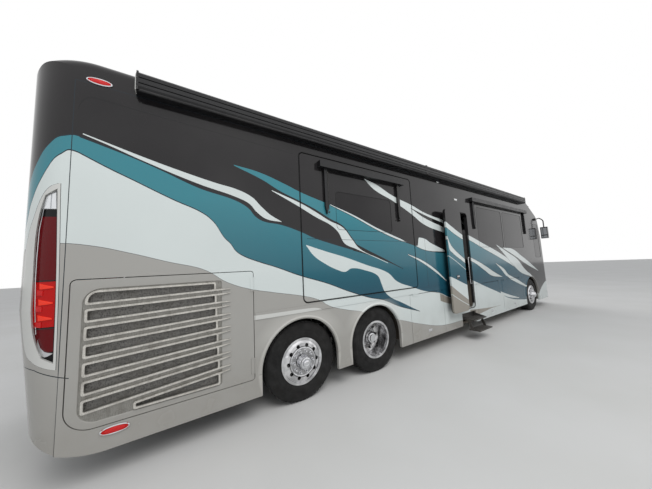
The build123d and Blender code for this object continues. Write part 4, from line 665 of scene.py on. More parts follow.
class Palette:
    """Every material of the object by name."""

    def __init__(self) -> None:
        """Builds the finishes."""
        livery, door = Livery("coach_sweeps", SWEEPS, SEAMS), Livery("door_sweeps", DOOR_SWEEPS)
        own = (
            livery.coat("coach_paint", crown=True, closed_door=door),
            livery.coat("tinted_glass", glass=True),
            door.coat("entry_door_paint", wraps=False, lined=HALF + 0.125),
            self.louvre_panel(),
            self.alloy_wheel(),
            self.lens("tail_lens", (158, 8, 10), (206, 18, 14), 0.08, 0.22, bands=TAIL_BANDS),
            self.lens("lit_lens", (206, 26, 16), (240, 66, 42), glow=0.16),
            self.lens("red_lens", (172, 12, 16), (224, 42, 42)),
            self.lens("clear_lens", (206, 212, 216), (236, 238, 240)),
        )
        made = (*own, *(finish.build() for finish in FINISHES))
        # a name that the frame has too ends with a number
        self.by_name = {material.name.split(".")[0]: material for material in made}

    def __getitem__(self, name: str) -> bpy.types.Material:
        """The finish of that name."""
        return self.by_name[name]

    def louvre_panel(self) -> bpy.types.Material:
        """Bright ridges over darker webs over a deep perforated screen, told apart by their depth.

        Returns:
            The material.
        """
        material, graph, shader = new_material("louvre_panel")
        _, y, _ = graph.axes()
        side = graph.math("ABSOLUTE", y)
        cells = graph.node("ShaderNodeTexVoronoi", {"Vector": graph.object_place(), "Scale": 95.0}, feature="F1")
        holes = graph.spread(cells.outputs["Distance"], 0.25, 0.45, 0.0, 1.0)
        streak = graph.noise(420.0, 2.0, (1.0, 1.0, 0.05))
        screen = graph.mix(holes, tint(52, 51, 50), tint(122, 120, 116))
        web = graph.mix(streak, tint(136, 134, 129), tint(160, 158, 152))
        ridge = graph.mix(streak, tint(198, 194, 186), tint(226, 223, 216))
        near = graph.mix(graph.above(side, HALF - 0.0365), screen, web)
        colour = graph.mix(graph.spread(side, HALF - 0.006, HALF - 0.001, 0.0, 1.0), near, ridge)
        grime = graph.spread(graph.noise(14.0, 5.0), 0.45, 0.75, 0.0, 0.35)
        graph.feed(shader, {
            "Base Color": graph.mix(grime, colour, tint(84, 78, 68)),
            "Roughness": graph.spread(streak, 0.3, 0.7, 0.24, 0.36),
            "Metallic": graph.spread(side, HALF - 0.038, HALF - 0.036, 0.2, 0.75),
            "Normal": graph.bump(graph.math("MULTIPLY_ADD", streak, 0.1, holes), 0.0012),
        })
        return material

    def alloy_wheel(self) -> bpy.types.Material:
        """Polished forged wheel, duller deep in its dish, with painted shade deep in the dish, in the groove inside
        the rim and round the hub, and painted reflection patches.

        Returns:
            The material.
        """
        material, graph, shader = new_material("alloy_wheel")
        x, y, z = graph.axes()
        reach: object = 1.0
        for axle in AXLES:
            reach = graph.math("MINIMUM", reach, graph.reach(x, z, axle))
        # painted shade: the colour darkens from the outer face to deep in the dish, which is also rougher
        depth = graph.spread(graph.math("ABSOLUTE", y), 0.94, 1.24, 1.0, 0.0)
        turned = graph.noise(60.0, 3.0)
        # painted reflections: bright and dark noise patches over the polished metal
        reflection_patches = graph.spread(graph.noise(8.0, 2.0), 0.40, 0.62, 0.0, 1.0)
        shine = graph.mix(reflection_patches, tint(196, 196, 198), tint(242, 242, 244))
        shade = graph.mix(reflection_patches, tint(128, 127, 126), tint(232, 232, 233))
        # painted shade: a dark ring in the groove inside the rim flange, and darkening in the recess round the hub
        groove_shade = graph.spread(graph.gap(reach, 0.199), 0.003, 0.009, 0.8, 0.0)
        recess_shade = graph.times(graph.below(reach, 0.176), 0.42)
        colour = graph.mix(graph.math("MAXIMUM", groove_shade, recess_shade), graph.mix(depth, shine, shade), tint(58, 58, 60))
        dust = graph.spread(graph.noise(11.0, 5.0), 0.55, 0.85, 0.0, 0.25)
        polish = graph.spread(turned, 0.3, 0.7, 0.10, 0.16)
        graph.feed(shader, {
            "Base Color": graph.mix(dust, colour, tint(120, 114, 106)),
            "Roughness": graph.math("MULTIPLY_ADD", depth, 0.10, polish),
            "Normal": graph.bump(turned, 0.0001), "Metallic": 1.0,
        })
        return material

    def lens(self, name: str, deep: Shade, lit: Shade, coat: float = 0.15, shine: float = 0.3, glow: float = 0.0,
             bands: Sequence[tuple[float, Shade, Shade]] = ()) -> bpy.types.Material:
        """Moulded lamp lens with fine prisms under a glossy skin.

        Args:
            name: The material's name.
            deep: Colour between the prisms.
            lit: Colour on the prisms.
            coat: Weight of the skin.
            shine: Its specular level.
            glow: Strength of its own light.
            bands: Foot, deep and lit colour of other colours on the same lens, from the lowest up.

        Returns:
            The material.
        """
        material, graph, shader = new_material(name)
        x, y, z = graph.axes()
        prism = graph.weave(graph.math("ADD", x, y), z, 0.012)
        colour = graph.mix(prism, tint(*deep), tint(*lit))
        for foot, *shades in bands:
            colour = graph.mix(graph.above(z, foot), colour, graph.mix(prism, *(tint(*shade) for shade in shades)))
        graph.feed(shader, {
            "Base Color": colour,
            "Roughness": graph.spread(graph.noise(20.0), 0.3, 0.7, 0.08, 0.16),
            "Normal": graph.bump(prism, 0.0006), "Coat Weight": coat, "Coat Roughness": 0.03,
            "Specular IOR Level": shine, "Emission Color": tint(*lit), "Emission Strength": glow,
        })
        return material


def piece(name: str, vertices: Iterable[Sequence[float]], faces: Iterable[Sequence[int]],
          material: bpy.types.Material, smooth: bool = False) -> bpy.types.Object:
    """Makes a mesh object whose place is in its mesh.

    Args:
        name: The piece's name.
        vertices: Points in the shared frame, in metres.
        faces: Vertex numbers of each face.
        material: Its finish.
        smooth: Whether the faces are shaded smooth.

    Returns:
        The new object.
    """
    mesh = bpy.data.meshes.new(name)
    mesh.from_pydata([tuple(v) for v in vertices], [], [tuple(f) for f in faces])
    work = bmesh.new()
    work.from_mesh(mesh)
    bmesh.ops.remove_doubles(work, verts=work.verts, dist=1e-6)
    bmesh.ops.recalc_face_normals(work, faces=work.faces)
    work.to_mesh(mesh)
    work.free()
    mesh.materials.append(material)
    mesh.polygons.foreach_set("use_smooth", [smooth] * len(mesh.polygons))
    made = bpy.data.objects.new(name, mesh)
    bpy.context.scene.collection.objects.link(made)
    return made


def circle(count: int) -> list[tuple[float, float]]:
    """Cosine and sine of evenly spaced angles."""
    return [(math.cos(a), math.sin(a)) for a in (2 * math.pi * k / count for k in range(count))]


def oval(x: float, y: float, z: float, length: float, height: float) -> list[Point]:
    """Points round an oval that faces sideways."""
    return [(x + length / 2 * cosine, y, z + height / 2 * sine) for cosine, sine in circle(OVAL_STEPS)]


def rounded(x: Sequence[float], y: float, z: Sequence[float], corner: float) -> list[Point]:
    """Points round a rounded rectangle that faces sideways.

    Args:
        x: Its ends, in metres ahead of the rear seam.
        y: Its plane.
        z: Low and high z.
        corner: Corner radius.

    Returns:
        The ring of points.
    """
    low, high = ahead(x[0]), ahead(x[1])
    points = []
    for cx, cz, start in ((high - corner, z[1] - corner, 0), (low + corner, z[1] - corner, 90),
                          (low + corner, z[0] + corner, 180), (high - corner, z[0] + corner, 270)):
        for step in range(7):
            a = math.radians(start + step * 15)
            points.append((cx + corner * math.cos(a), y, cz + corner * math.sin(a)))
    return points


def about(middle: float, half: float) -> tuple[float, float]:
    """The two places at a distance from a middle one."""
    return (middle - half, middle + half)


class Builder:
    """Gathers loose shapes that become one piece."""

    def __init__(self) -> None:
        """Starts with nothing."""
        self.vertices: list[Sequence[float]] = []
        self.faces: list[list[int]] = []

    def add(self, vertices: Sequence[Sequence[float]], faces: Iterable[Sequence[int]]) -> None:
        """Adds one shape.

        Args:
            vertices: Its points.
            faces: Its faces, numbered from its own first point.
        """
        start = len(self.vertices)
        self.vertices.extend(vertices)
        self.faces.extend([start + i for i in face] for face in faces)

    def join(self, other: "Builder") -> None:
        """Adds the shapes of another builder."""
        self.add(other.vertices, other.faces)

    def frustum(self, foot: Sequence[Sequence[float]], top: Sequence[Sequence[float]]) -> None:
        """Adds a solid between two outlines of four corners."""
        self.add([*foot, *top], [[0, 1, 2, 3], [4, 5, 6, 7], [0, 1, 5, 4], [1, 2, 6, 5], [2, 3, 7, 6], [3, 0, 4, 7]])

    def block(self, x: Sequence[float], y: Sequence[float], z: Sequence[float], soft: float) -> None:
        """Adds a box with chamfered edges.

        Args:
            x: Low and high x.
            y: Low and high y.
            z: Low and high z.
            soft: Width of the chamfer.
        """
        work = bmesh.new()
        size = [abs(b - a) for a, b in (x, y, z)]
        middle = Vector([(a + b) / 2 for a, b in (x, y, z)])
        bmesh.ops.create_cube(work, size=1.0, matrix=Matrix.Translation(middle) @ Matrix.Diagonal((*size, 1.0)))
        if soft > 0:
            bmesh.ops.bevel(work, geom=list(work.edges), offset=min(soft, min(size) * 0.3), segments=2,
                            affect="EDGES", profile=0.6)
        self.take(work)

    def take(self, work: bmesh.types.BMesh) -> None:
        """Adds the faces of a bmesh and frees it.

        Args:
            work: The shape.
        """
        work.verts.index_update()
        self.add([tuple(v.co) for v in work.verts], [[v.index for v in face.verts] for face in work.faces])
        work.free()

    def tube(self, path: Sequence[Sequence[float]], radius: float, around: int = 10, closed: bool = False,
             flat: float = 1.0) -> None:
        """Adds a round bar along a path.

        Args:
            path: Points of its centre line.
            radius: Its radius.
            around: Sides of its section.
            closed: Whether the path is a ring.
            flat: Height of the section as a share of its width.
        """
        points = [Vector(p) for p in path]
        count = len(points)
        rings = []
        side_before = None
        for i, point in enumerate(points):
            before = points[(i - 1) % count] if closed or i else point
            after = points[(i + 1) % count] if closed or i < count - 1 else point
            way = (after - before).normalized()
            side = way.orthogonal() if side_before is None else side_before - way * side_before.dot(way)
            side = side_before = side.normalized()
            rise = way.cross(side)
            rings.append([point + side * radius * cosine + rise * radius * flat * sine
                          for cosine, sine in circle(around)])
        faces = []
        for i in range(count if closed else count - 1):
            j = (i + 1) % count
            for k in range(around):
                m = (k + 1) % around
                faces.append([i * around + k, i * around + m, j * around + m, j * around + k])
        if not closed:
            faces.append(list(range(around - 1, -1, -1)))
            faces.append([(count - 1) * around + k for k in range(around)])
        self.add([tuple(v) for ring in rings for v in ring], faces)

    def lathe(self, centre: Sequence[float], profile: Sequence[tuple[float, float]], side: int,
              around: int = 64) -> None:
        """Adds a shape turned about an axis along Y.

        Args:
            centre: A point on the axis.
            profile: Closed outline as (distance outboard, radius).
            side: -1 on the right, 1 on the left.
            around: Steps round the axis.
        """
        count = len(profile)
        work = bmesh.new()
        made = [work.verts.new((centre[0] + radius * cosine, centre[1] + side * out, centre[2] + radius * sine))
                for cosine, sine in circle(around) for out, radius in profile]
        for i in range(around):
            j = (i + 1) % around
            for k in range(count):
                m = (k + 1) % count
                corners = []
                for index in (i * count + k, i * count + m, j * count + m, j * count + k):
                    if not corners or (made[index].co - corners[-1].co).length > NOTHING:
                        corners.append(made[index])
                if (corners[0].co - corners[-1].co).length < NOTHING:
                    corners.pop()
                if len(corners) > 2:
                    work.faces.new(corners)
        bmesh.ops.remove_doubles(work, verts=work.verts, dist=1e-6)
        self.take(work)


def soften(made: bpy.types.Object) -> None:
    """Keeps the sharp edges of a smooth piece sharp.

    Args:
        made: The piece.
    """
    work = bmesh.new()
    work.from_mesh(made.data)
    for edge in work.edges:
        edge.smooth = len(edge.link_faces) == 2 and edge.calc_face_angle(0.0) < SHARP
    work.to_mesh(made.data)
    work.free()


class Skin:
    """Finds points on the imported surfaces."""

    def __init__(self, nodes: Sequence[str]) -> None:
        """Reads the meshes of some CAD nodes.

        Args:
            nodes: Their names.
        """
        vertices: list[Vector] = []
        faces: list[list[int]] = []
        for node in nodes:
            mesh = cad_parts[node].data
            start = len(vertices)
            vertices.extend(v.co.copy() for v in mesh.vertices)
            faces.extend([start + i for i in polygon.vertices] for polygon in mesh.polygons)
        self.tree = BVHTree.FromPolygons(vertices, faces)

    def hit(self, start: Point, way: Point) -> Vector:
        """The first point of the surface from a start in a direction, or the start if nothing is met."""
        found = self.tree.ray_cast(Vector(start), Vector(way).normalized())[0]
        return Vector(start) if found is None else found

    def front(self, y: float, z: float) -> Vector:
        """The point that is seen from ahead at a place."""
        return self.hit((FRONT_X + 1.0, y, z), (-1.0, 0.0, 0.0))


class Repeater:
    """Geometry node trees that set copies of a shape in a ring or a row."""

    def __init__(self) -> None:
        """Builds both trees."""
        self.ring_tree = self._tree("ring_of_copies", ring=True)
        self.row_tree = self._tree("row_of_copies", ring=False)

    def _tree(self, name: str, ring: bool) -> bpy.types.NodeTree:
        """Builds one tree.

        Args:
            name: Its name.
            ring: Whether the copies stand in a ring about an axis along Y, or else in a row.

        Returns:
            The node tree.
        """
        tree = bpy.data.node_groups.new(name, "GeometryNodeTree")
        sockets(tree, "INPUT", Shape="Object", Count="Int", Centre="Vector", Radius="Float", Step="Vector",
                Finish="Material")
        sockets(tree, "OUTPUT", Geometry="Geometry")
        graph = Graph(tree)
        source = graph.node("NodeGroupInput").outputs
        index = graph.node("GeometryNodeInputIndex").outputs[0]
        if ring:
            angle = graph.times(index, graph.math("DIVIDE", 2 * math.pi, source["Count"]))
            across, up = (graph.times(graph.math(way, angle), source["Radius"]) for way in ("COSINE", "SINE"))
            spot = graph.node("ShaderNodeCombineXYZ", {0: across, 2: up}).outputs[0]
            turn = graph.node("ShaderNodeCombineXYZ", {1: graph.times(angle, -1.0)}).outputs[0]
        else:
            inputs = {0: source["Step"], "Scale": index}
            spot = graph.node("ShaderNodeVectorMath", inputs, operation="SCALE").outputs[0]
            turn = graph.node("ShaderNodeCombineXYZ").outputs[0]
        place = graph.node("ShaderNodeVectorMath", {0: spot, 1: source["Centre"]}, operation="ADD").outputs[0]
        points = graph.node("GeometryNodePoints", {"Count": source["Count"], "Position": place})
        shape = graph.node("GeometryNodeObjectInfo", {"Object": source["Shape"]})
        inputs = {"Points": points.outputs[0], "Instance": shape.outputs["Geometry"]}
        copies = graph.node("GeometryNodeInstanceOnPoints", inputs)
        turned = graph.node("GeometryNodeRotateInstances", {"Instances": copies.outputs[0], "Rotation": turn})
        real = graph.node("GeometryNodeRealizeInstances", {0: turned.outputs[0]})
        dressed = graph.node("GeometryNodeSetMaterial", {"Geometry": real.outputs[0], "Material": source["Finish"]})
        graph.node("NodeGroupOutput", {"Geometry": dressed.outputs[0]})
        return tree

    def ring(self, shape: Builder, centre: Point, radius: float, count: int) -> Builder:
        """Copies of a shape, drawn with +X outward from the axis, round an axis along Y."""
        return self._gather(self.ring_tree, shape, {"Count": count, "Centre": centre, "Radius": radius})

    def row(self, shape: Builder, start: Point, step: Point, count: int) -> Builder:
        """Copies of a shape along a line."""
        return self._gather(self.row_tree, shape, {"Count": count, "Centre": start, "Step": step})

    def _gather(self, tree: bpy.types.NodeTree, shape: Builder, values: dict[str, object]) -> Builder:
        """Runs a tree on a shape.

        Args:
            tree: One of the trees.
            shape: The shape to copy, drawn at the origin.
            values: The tree's sizes by name.

        Returns:
            A builder holding the copies.
        """
        finish = bpy.data.materials.get("chrome_trim")
        model = piece("shape_to_copy", shape.vertices, shape.faces, finish)
        holder = bpy.data.objects.new("copies", bpy.data.meshes.new("copies"))
        bpy.context.scene.collection.objects.link(holder)
        modifier = holder.modifiers.new("copies", "NODES")
        modifier.node_group = tree
        values = {**values, "Shape": model, "Finish": finish}
        for item in tree.interface.items_tree:
            if item.in_out == "INPUT" and item.name in values:
                modifier[item.identifier] = values[item.name]
        graph = bpy.context.evaluated_depsgraph_get()
        mesh = bpy.data.meshes.new_from_object(holder.evaluated_get(graph))
        held = Builder()
        held.add([tuple(v.co) for v in mesh.vertices], [list(p.vertices) for p in mesh.polygons])
        bpy.data.objects.remove(holder)
        bpy.data.objects.remove(model)
        bpy.data.meshes.remove(mesh)
        return held


@dataclass
class Part:
    """A group of pieces made with the shared finishes and copying trees."""

    palette: Palette
    repeater: Repeater

    def make(self, held: Builder, name: str, finish: str, slot: Optional[str] = None, smooth: bool = False,
             body: str = "coach") -> bpy.types.Object:
        """Makes gathered shapes one piece riding on a body.

        Args:
            held: The shapes.
            name: The piece's name.
            finish: Name of its finish.
            slot: Not used.
            smooth: Whether it is shaded smooth.
            body: The CAD body it moves with.

        Returns:
            The piece.
        """
        made = piece(name, held.vertices, held.faces, self.palette[finish], smooth)
        if smooth:
            soften(made)
        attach(made, body)
        return made


NODE_FINISHES = {
    "awnings": "awning_black", "slide_awning": "awning_black", "radiator_louvres": "louvre_panel",
    "red_lamps": "tail_lens", "headlamps": "clear_lens", "roof_units": "roof_gelcoat", "floor": "deck_board",
    "chassis_frame": "chassis_black", "axles": "chassis_black", "air_springs": "bellows_rubber",
    "engine": "engine_iron", "dashboard": "dash_plastic", "cab_seats": "seat_leather", "mirrors": "mirror_black",
    "entry_steps": "step_metal", "entry_door": "entry_door_paint", "fixed_glass": "tinted_glass",
    "slide_glass": "tinted_glass", "wheel_": "alloy_wheel", "tyre_": "tyre_rubber", "knuckle_": "chassis_black",
}


class CoachBody(Part):
    """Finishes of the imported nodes, and the seals and latches of the body."""

    def dress(self) -> None:
        """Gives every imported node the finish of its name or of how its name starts, or else paint."""
        for name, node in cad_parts.items():
            finish = NODE_FINISHES.get(name) or NODE_FINISHES.get(name.split("_")[0] + "_", "coach_paint")
            node.data.materials.clear()
            node.data.materials.append(self.palette[finish])

    def seals(self) -> None:
        """Rubber seals round the slide room, windows and doorway."""
        body, slide = Builder(), Builder()
        y = RIGHT * HALF
        body.tube(rounded((2.345, 4.935), y - 0.001, (1.315, 3.555), 0.075), 0.007, 6, True, 0.7)
        body.tube(rounded((6.475, 7.16), y - 0.002, (0.64, 3.02), 0.09), 0.012, 8, True, 0.7)
        for held, side, low, high, foot, head in (
            (body, RIGHT, 7.72, 9.28, 2.15, 3.25), (body, RIGHT, 9.38, 10.88, 2.15, 3.25),
            (body, LEFT, 9.38, 10.88, 2.15, 3.25), (body, LEFT, 7.12, 8.68, 2.15, 3.25),
            (body, LEFT, 4.82, 6.38, 2.15, 3.25), (body, LEFT, 2.02, 3.22, 2.35, 3.15),
            (body, RIGHT, 11.94, 12.51, 1.80, 3.04), (body, LEFT, 11.94, 12.51, 1.80, 3.04),
            (slide, RIGHT, 2.99, 4.29, 2.40, 3.03),
        ):
            held.tube(rounded((low, high), side * (HALF - 0.002), (foot, head), 0.07), 0.0045, 6, True, 0.8)
        self.make(body, "body_seals", "seal_rubber", "chassis_black", True)
        self.make(slide, "slide_window_seal", "seal_rubber", "chassis_black", True, body="slide_room")

    def latches(self) -> None:
        """Paddle latches on the luggage bay doors."""
        doors = {
            "bay_door_right_rear": (RIGHT, 4.66, 5.78), "bay_door_right_middle": (RIGHT, 7.30, 8.82),
            "bay_door_right_front": (RIGHT, 8.86, 10.38), "bay_door_left_rear": (LEFT, 4.66, 6.54),
            "bay_door_left_middle": (LEFT, 6.58, 8.46), "bay_door_left_front": (LEFT, 8.50, 10.38),
        }
        for name, (side, low, high) in doors.items():
            held = Builder()
            x = ahead((low + high) / 2)
            y = side * HALF
            held.block(about(x, 0.06), (y - side * 0.001, y + side * 0.005), (0.40, 0.45), 0.004)
            held.block(about(x, 0.045), (y + side * 0.004, y + side * 0.009), (0.408, 0.430), 0.003)
            self.make(held, f"{name}_latch", "chrome_trim", body=name)

    def build(self) -> None:
        """Makes everything of this part."""
        self.dress()
        self.seals()
        self.latches()


@dataclass
class Lamps(Part):
    """Tail lamps, marker lamps and headlamps."""

    turn_x: float = 0.387        # from the rear face to where its corners start to turn
    turn_y: float = 0.99         # half the rear face's width between its corners
    lean: float = 0.1            # how much farther they start per metre of height
    lean_z: float = 1.56         # below this height
    lamp_z: float = 0.77         # middle of the headlamps
    grille_foot: float = 0.42    # first of the grille's slots
    grille_pitch: float = 0.056
    slot_half: float = 0.014     # half the height of a slot
    rim_inset: float = 0.0025    # rounding of a moulded block's rim

    def markers(self) -> None:
        """Oval chrome bezels round the side marker lamps."""
        held, lens = Builder(), Builder()
        for side in SIDES:
            for x, z, length, height in ((ahead(0.38), 0.44, 0.20, 0.062), (ahead(0.17), 3.745, 0.18, 0.056)):
                held.tube(oval(x, side * (HALF + 0.006), z, length, height), 0.007, 8, True)
                crown = [(x, side * (HALF + 0.016), z)]
                for share, out in ((0.55, 0.0145), (0.85, 0.010), (0.97, 0.002)):
                    crown += oval(x, side * (HALF + out), z, length * share, height * share)
                following = [(k, (k + 1) % OVAL_STEPS) for k in range(OVAL_STEPS)]
                faces = [[0, 1 + k, 1 + m] for k, m in following]
                for start in (1, 1 + OVAL_STEPS):
                    faces += [[start + k, start + OVAL_STEPS + k, start + OVAL_STEPS + m, start + m]
                              for k, m in following]
                lens.add(crown, faces)
        self.make(held, "marker_bezels", "chrome_trim", smooth=True)
        self.make(lens, "marker_lenses", "red_lens", "red_lens", True)

    def lens_point(self, side: int, behind: float, z: float, lift: float) -> Vector:
        """A point over the tail lamp's lens.

        Args:
            side: -1 on the right, 1 on the left.
            behind: Distance behind the rear seam.
            z: Height.
            lift: Distance out from the lens.

        Returns:
            The point.
        """
        x = REAR_SEAM - behind
        found = self.skin.hit((x, side * 2.0, z), (0.0, -side, 0.0))
        corner = REAR_X + self.turn_x + max(0.0, self.lean * (self.lean_z - z))
        way = Vector((min(0.0, found.x - corner), side * max(0.05, abs(found.y) - self.turn_y), 0.0))
        return found + way.normalized() * lift

    def patch(self, held: Builder, side: int, low: Sequence[float], high: Sequence[float],
              front: Sequence[float], rear: Sequence[float], lift: float) -> None:
        """Adds a moulded block on the lens, rounded at its rim.

        Args:
            held: Where it goes.
            side: -1 on the right, 1 on the left.
            low: Heights of its foot, evenly spaced from front to rear.
            high: Heights of its top, the same way.
            front: Distance behind the seam of its front edge, at the foot and at the top.
            rear: The same of its rear edge.
            lift: How far it stands out.
        """
        columns, rows = 8, 3
        feet, tops = ([float(np.interp(i / columns, np.linspace(0, 1, len(edge)), edge))
                       for i in range(columns + 1)] for edge in (low, high))
        loops = []
        for inset, out in ((0.0, -0.002), (0.0, lift * 0.6), (self.rim_inset, lift)):
            grid = []
            for share in (j / rows for j in range(rows + 1)):
                a = front[0] * (1 - share) + front[1] * share + inset
                b = rear[0] * (1 - share) + rear[1] * share - inset
                grid.append([self.lens_point(side, a + (b - a) * i / columns,
                                             (feet[i] + inset) * (1 - share) + (tops[i] - inset) * share, out)
                             for i in range(columns + 1)])
            loops.append(grid)
        edge = ([(0, i) for i in range(columns)] + [(j, columns) for j in range(rows)]
                + [(rows, i) for i in range(columns, 0, -1)] + [(j, 0) for j in range(rows, 0, -1)])
        foot, wall, top = loops
        points = [loop[j][i] for loop in (foot, wall) for j, i in edge] + [point for line in top for point in line]
        count = len(edge)
        places = [2 * count + j * (columns + 1) + i for j in range(rows) for i in range(columns)]
        crown = [2 * count + j * (columns + 1) + i for j, i in edge]
        following = [(k, (k + 1) % count) for k in range(count)]
        faces = [[k, m, count + m, count + k] for k, m in following]
        faces += [[count + k, count + m, crown[m], crown[k]] for k, m in following]
        faces += [[a, a + 1, a + columns + 2, a + columns + 1] for a in places]
        held.add([tuple(v) for v in points], faces)

    def tails(self) -> None:
        """Lit rows, white blocks and chrome trim on both tail lamps."""
        self.skin = Skin(["red_lamps"])
        white, lit, glow, chrome, black = Builder(), Builder(), Builder(), Builder(), Builder()
        for side in SIDES:
            self.patch(white, side, (2.440, 2.440), (2.592, 2.580), (0.072, 0.080), (0.108, 0.108), 0.010)
            self.patch(white, side, (2.440, 2.440), (2.576, 2.552), (0.114, 0.114), (0.156, 0.146), 0.010)
            for z in (1.760, 1.625, 1.493):
                self.patch(lit, side, (z - 0.018, z - 0.026), (z - 0.006, z + 0.026), (0.062, 0.062),
                           (0.150, 0.154), 0.008)
                self.patch(glow, side, (z - 0.082, z - 0.074), (z - 0.034, z - 0.030), (0.130, 0.130),
                           (0.166, 0.172), 0.007)
            self.patch(chrome, side, (1.186, 1.170, 1.164, 1.180, 1.262), (1.196, 1.202, 1.214, 1.248, 1.325),
                       (0.044, 0.044), (0.142, 0.146), 0.011)
            for z in (1.402, 1.806):
                span = [self.lens_point(side, 0.048 + 0.012 * (z > 1.6) + 0.115 * k / 8, z, 0.003) for k in range(9)]
                black.tube(span, 0.003, 8)
            front = ((0.041, 1.15), (0.044, 1.40), (0.046, 1.64), (0.052, 1.90), (0.060, 2.14), (0.068, 2.34),
                     (0.076, 2.52), (0.080, 2.604))
            rear = ((0.144, 2.553), (0.162, 2.44), (0.184, 2.26), (0.189, 2.00), (0.187, 1.80), (0.175, 1.56),
                    (0.163, 1.36))
            for edge, held in ((front, black), (rear, chrome)):
                held.tube([self.lens_point(side, b, z, 0.002) for b, z in edge], 0.0035, 8)
        self.make(white, "tail_lamp_white_blocks", "lamp_white", smooth=True)
        self.make(lit, "tail_lamp_lit_rows", "lit_lens", "red_lens", True)
        self.make(glow, "tail_lamp_side_rows", "red_lens", "red_lens", True)
        self.make(chrome, "tail_lamp_chrome", "chrome_trim", smooth=True)
        self.make(black, "tail_lamp_bars", "gloss_black", "mirror_black", True)

    def fronts(self) -> None:
        """Rims and reflectors behind the headlamps' lenses, and chrome round the grille slots."""
        skin = Skin(["headlamps", "front_cap"])
        rims, bowls = Builder(), Builder()
        for side in SIDES:
            for y in (0.885, 1.045):
                for held, radius, bar in ((rims, 0.066, 0.005), (bowls, 0.04092, 0.0035)):
                    ring = []
                    for cosine, sine in circle(OVAL_STEPS):
                        found = skin.front(side * (y + radius * cosine), self.lamp_z + radius * sine)
                        ring.append((min(found.x + 0.001, FRONT_X - bar - 0.001), found.y, found.z))
                    held.tube(ring, bar, 8, True)
        for index in range(5):
            z = self.grille_foot + self.grille_pitch * index
            for level in about(z, self.slot_half):
                path = []
                for k in range(13):
                    y = -0.55 + 1.10 * k / 12
                    found = skin.front(y, level + math.copysign(0.006, level - z))
                    path.append((min(found.x, FRONT_X - 0.0035), y, found.z))
                rims.tube(path, 0.003, 6)
        self.make(rims, "headlamp_and_grille_rims", "chrome_trim", smooth=True)
        self.make(bowls, "headlamp_bowls", "lamp_white", "lamp_glass", True)

    def porch(self) -> None:
        """Porch lamp over the doorway and a marker lamp above it."""
        base, lens = Builder(), Builder()
        for held, x, half, near, far, z, soft in (
            (base, 6.69, 0.060, -0.001, 0.012, (3.305, 3.355), 0.005),
            (lens, 6.69, 0.048, 0.010, 0.022, (3.314, 3.346), 0.006),
            (base, 5.97, 0.040, -0.001, 0.010, (3.652, 3.682), 0.004),
            (lens, 5.97, 0.032, 0.008, 0.018, (3.657, 3.677), 0.004),
        ):
            held.block(about(ahead(x), half), (-HALF - far, -HALF - near), z, soft)
        self.make(base, "porch_lamp_bases", "bracket_white", "roof_white")
        self.make(lens, "porch_lamp_lenses", "lamp_white", "lamp_glass")

    def build(self) -> None:
        """Makes everything of this part."""
        self.markers()
        self.tails()
        self.fronts()
        self.porch()


# turned outlines as (distance outboard, radius)
NUT = ((0.0, 0.0), (0.0, 0.023), (0.004, 0.023), (0.006, 0.019), (0.030, 0.01786), (0.040, 0.0114), (0.043, 0.0))
FLANGE = ((-0.002, 0.176), (-0.002, 0.191), (0.005, 0.190), (0.008, 0.184), (0.005, 0.178))
HUB = ((0.0, 0.0), (0.0, 0.096), (0.004, 0.096), (0.012, 0.09), (0.060, 0.0837), (0.082, 0.0756), (0.086, 0.0648),
       (0.078, 0.0612), (0.078, 0.0504), (0.096, 0.045), (0.102, 0.027), (0.098, 0.0216), (0.100, 0.0))
DRIVE_HUB = ((0.0, 0.0), (0.0, 0.092), (0.012, 0.092), (0.030, 0.080), (0.034, 0.062), (0.050, 0.058), (0.056, 0.0))
TYRE_HALF = ((0.128, 0.2915), (0.128, 0.313), (0.134, 0.322), (0.1415, 0.343), (0.1470, 0.370), (0.1497, 0.383),
             (0.1497, 0.391), (0.1480, 0.394), (0.1480, 0.402), (0.1494, 0.405), (0.1480, 0.432), (0.1455, 0.452),
             (0.1462, 0.456), (0.1440, 0.470), (0.1385, 0.486), (0.1310, 0.502), (0.1230, 0.513), (0.1150, 0.5185))
TREAD_RADIUS = 0.5185


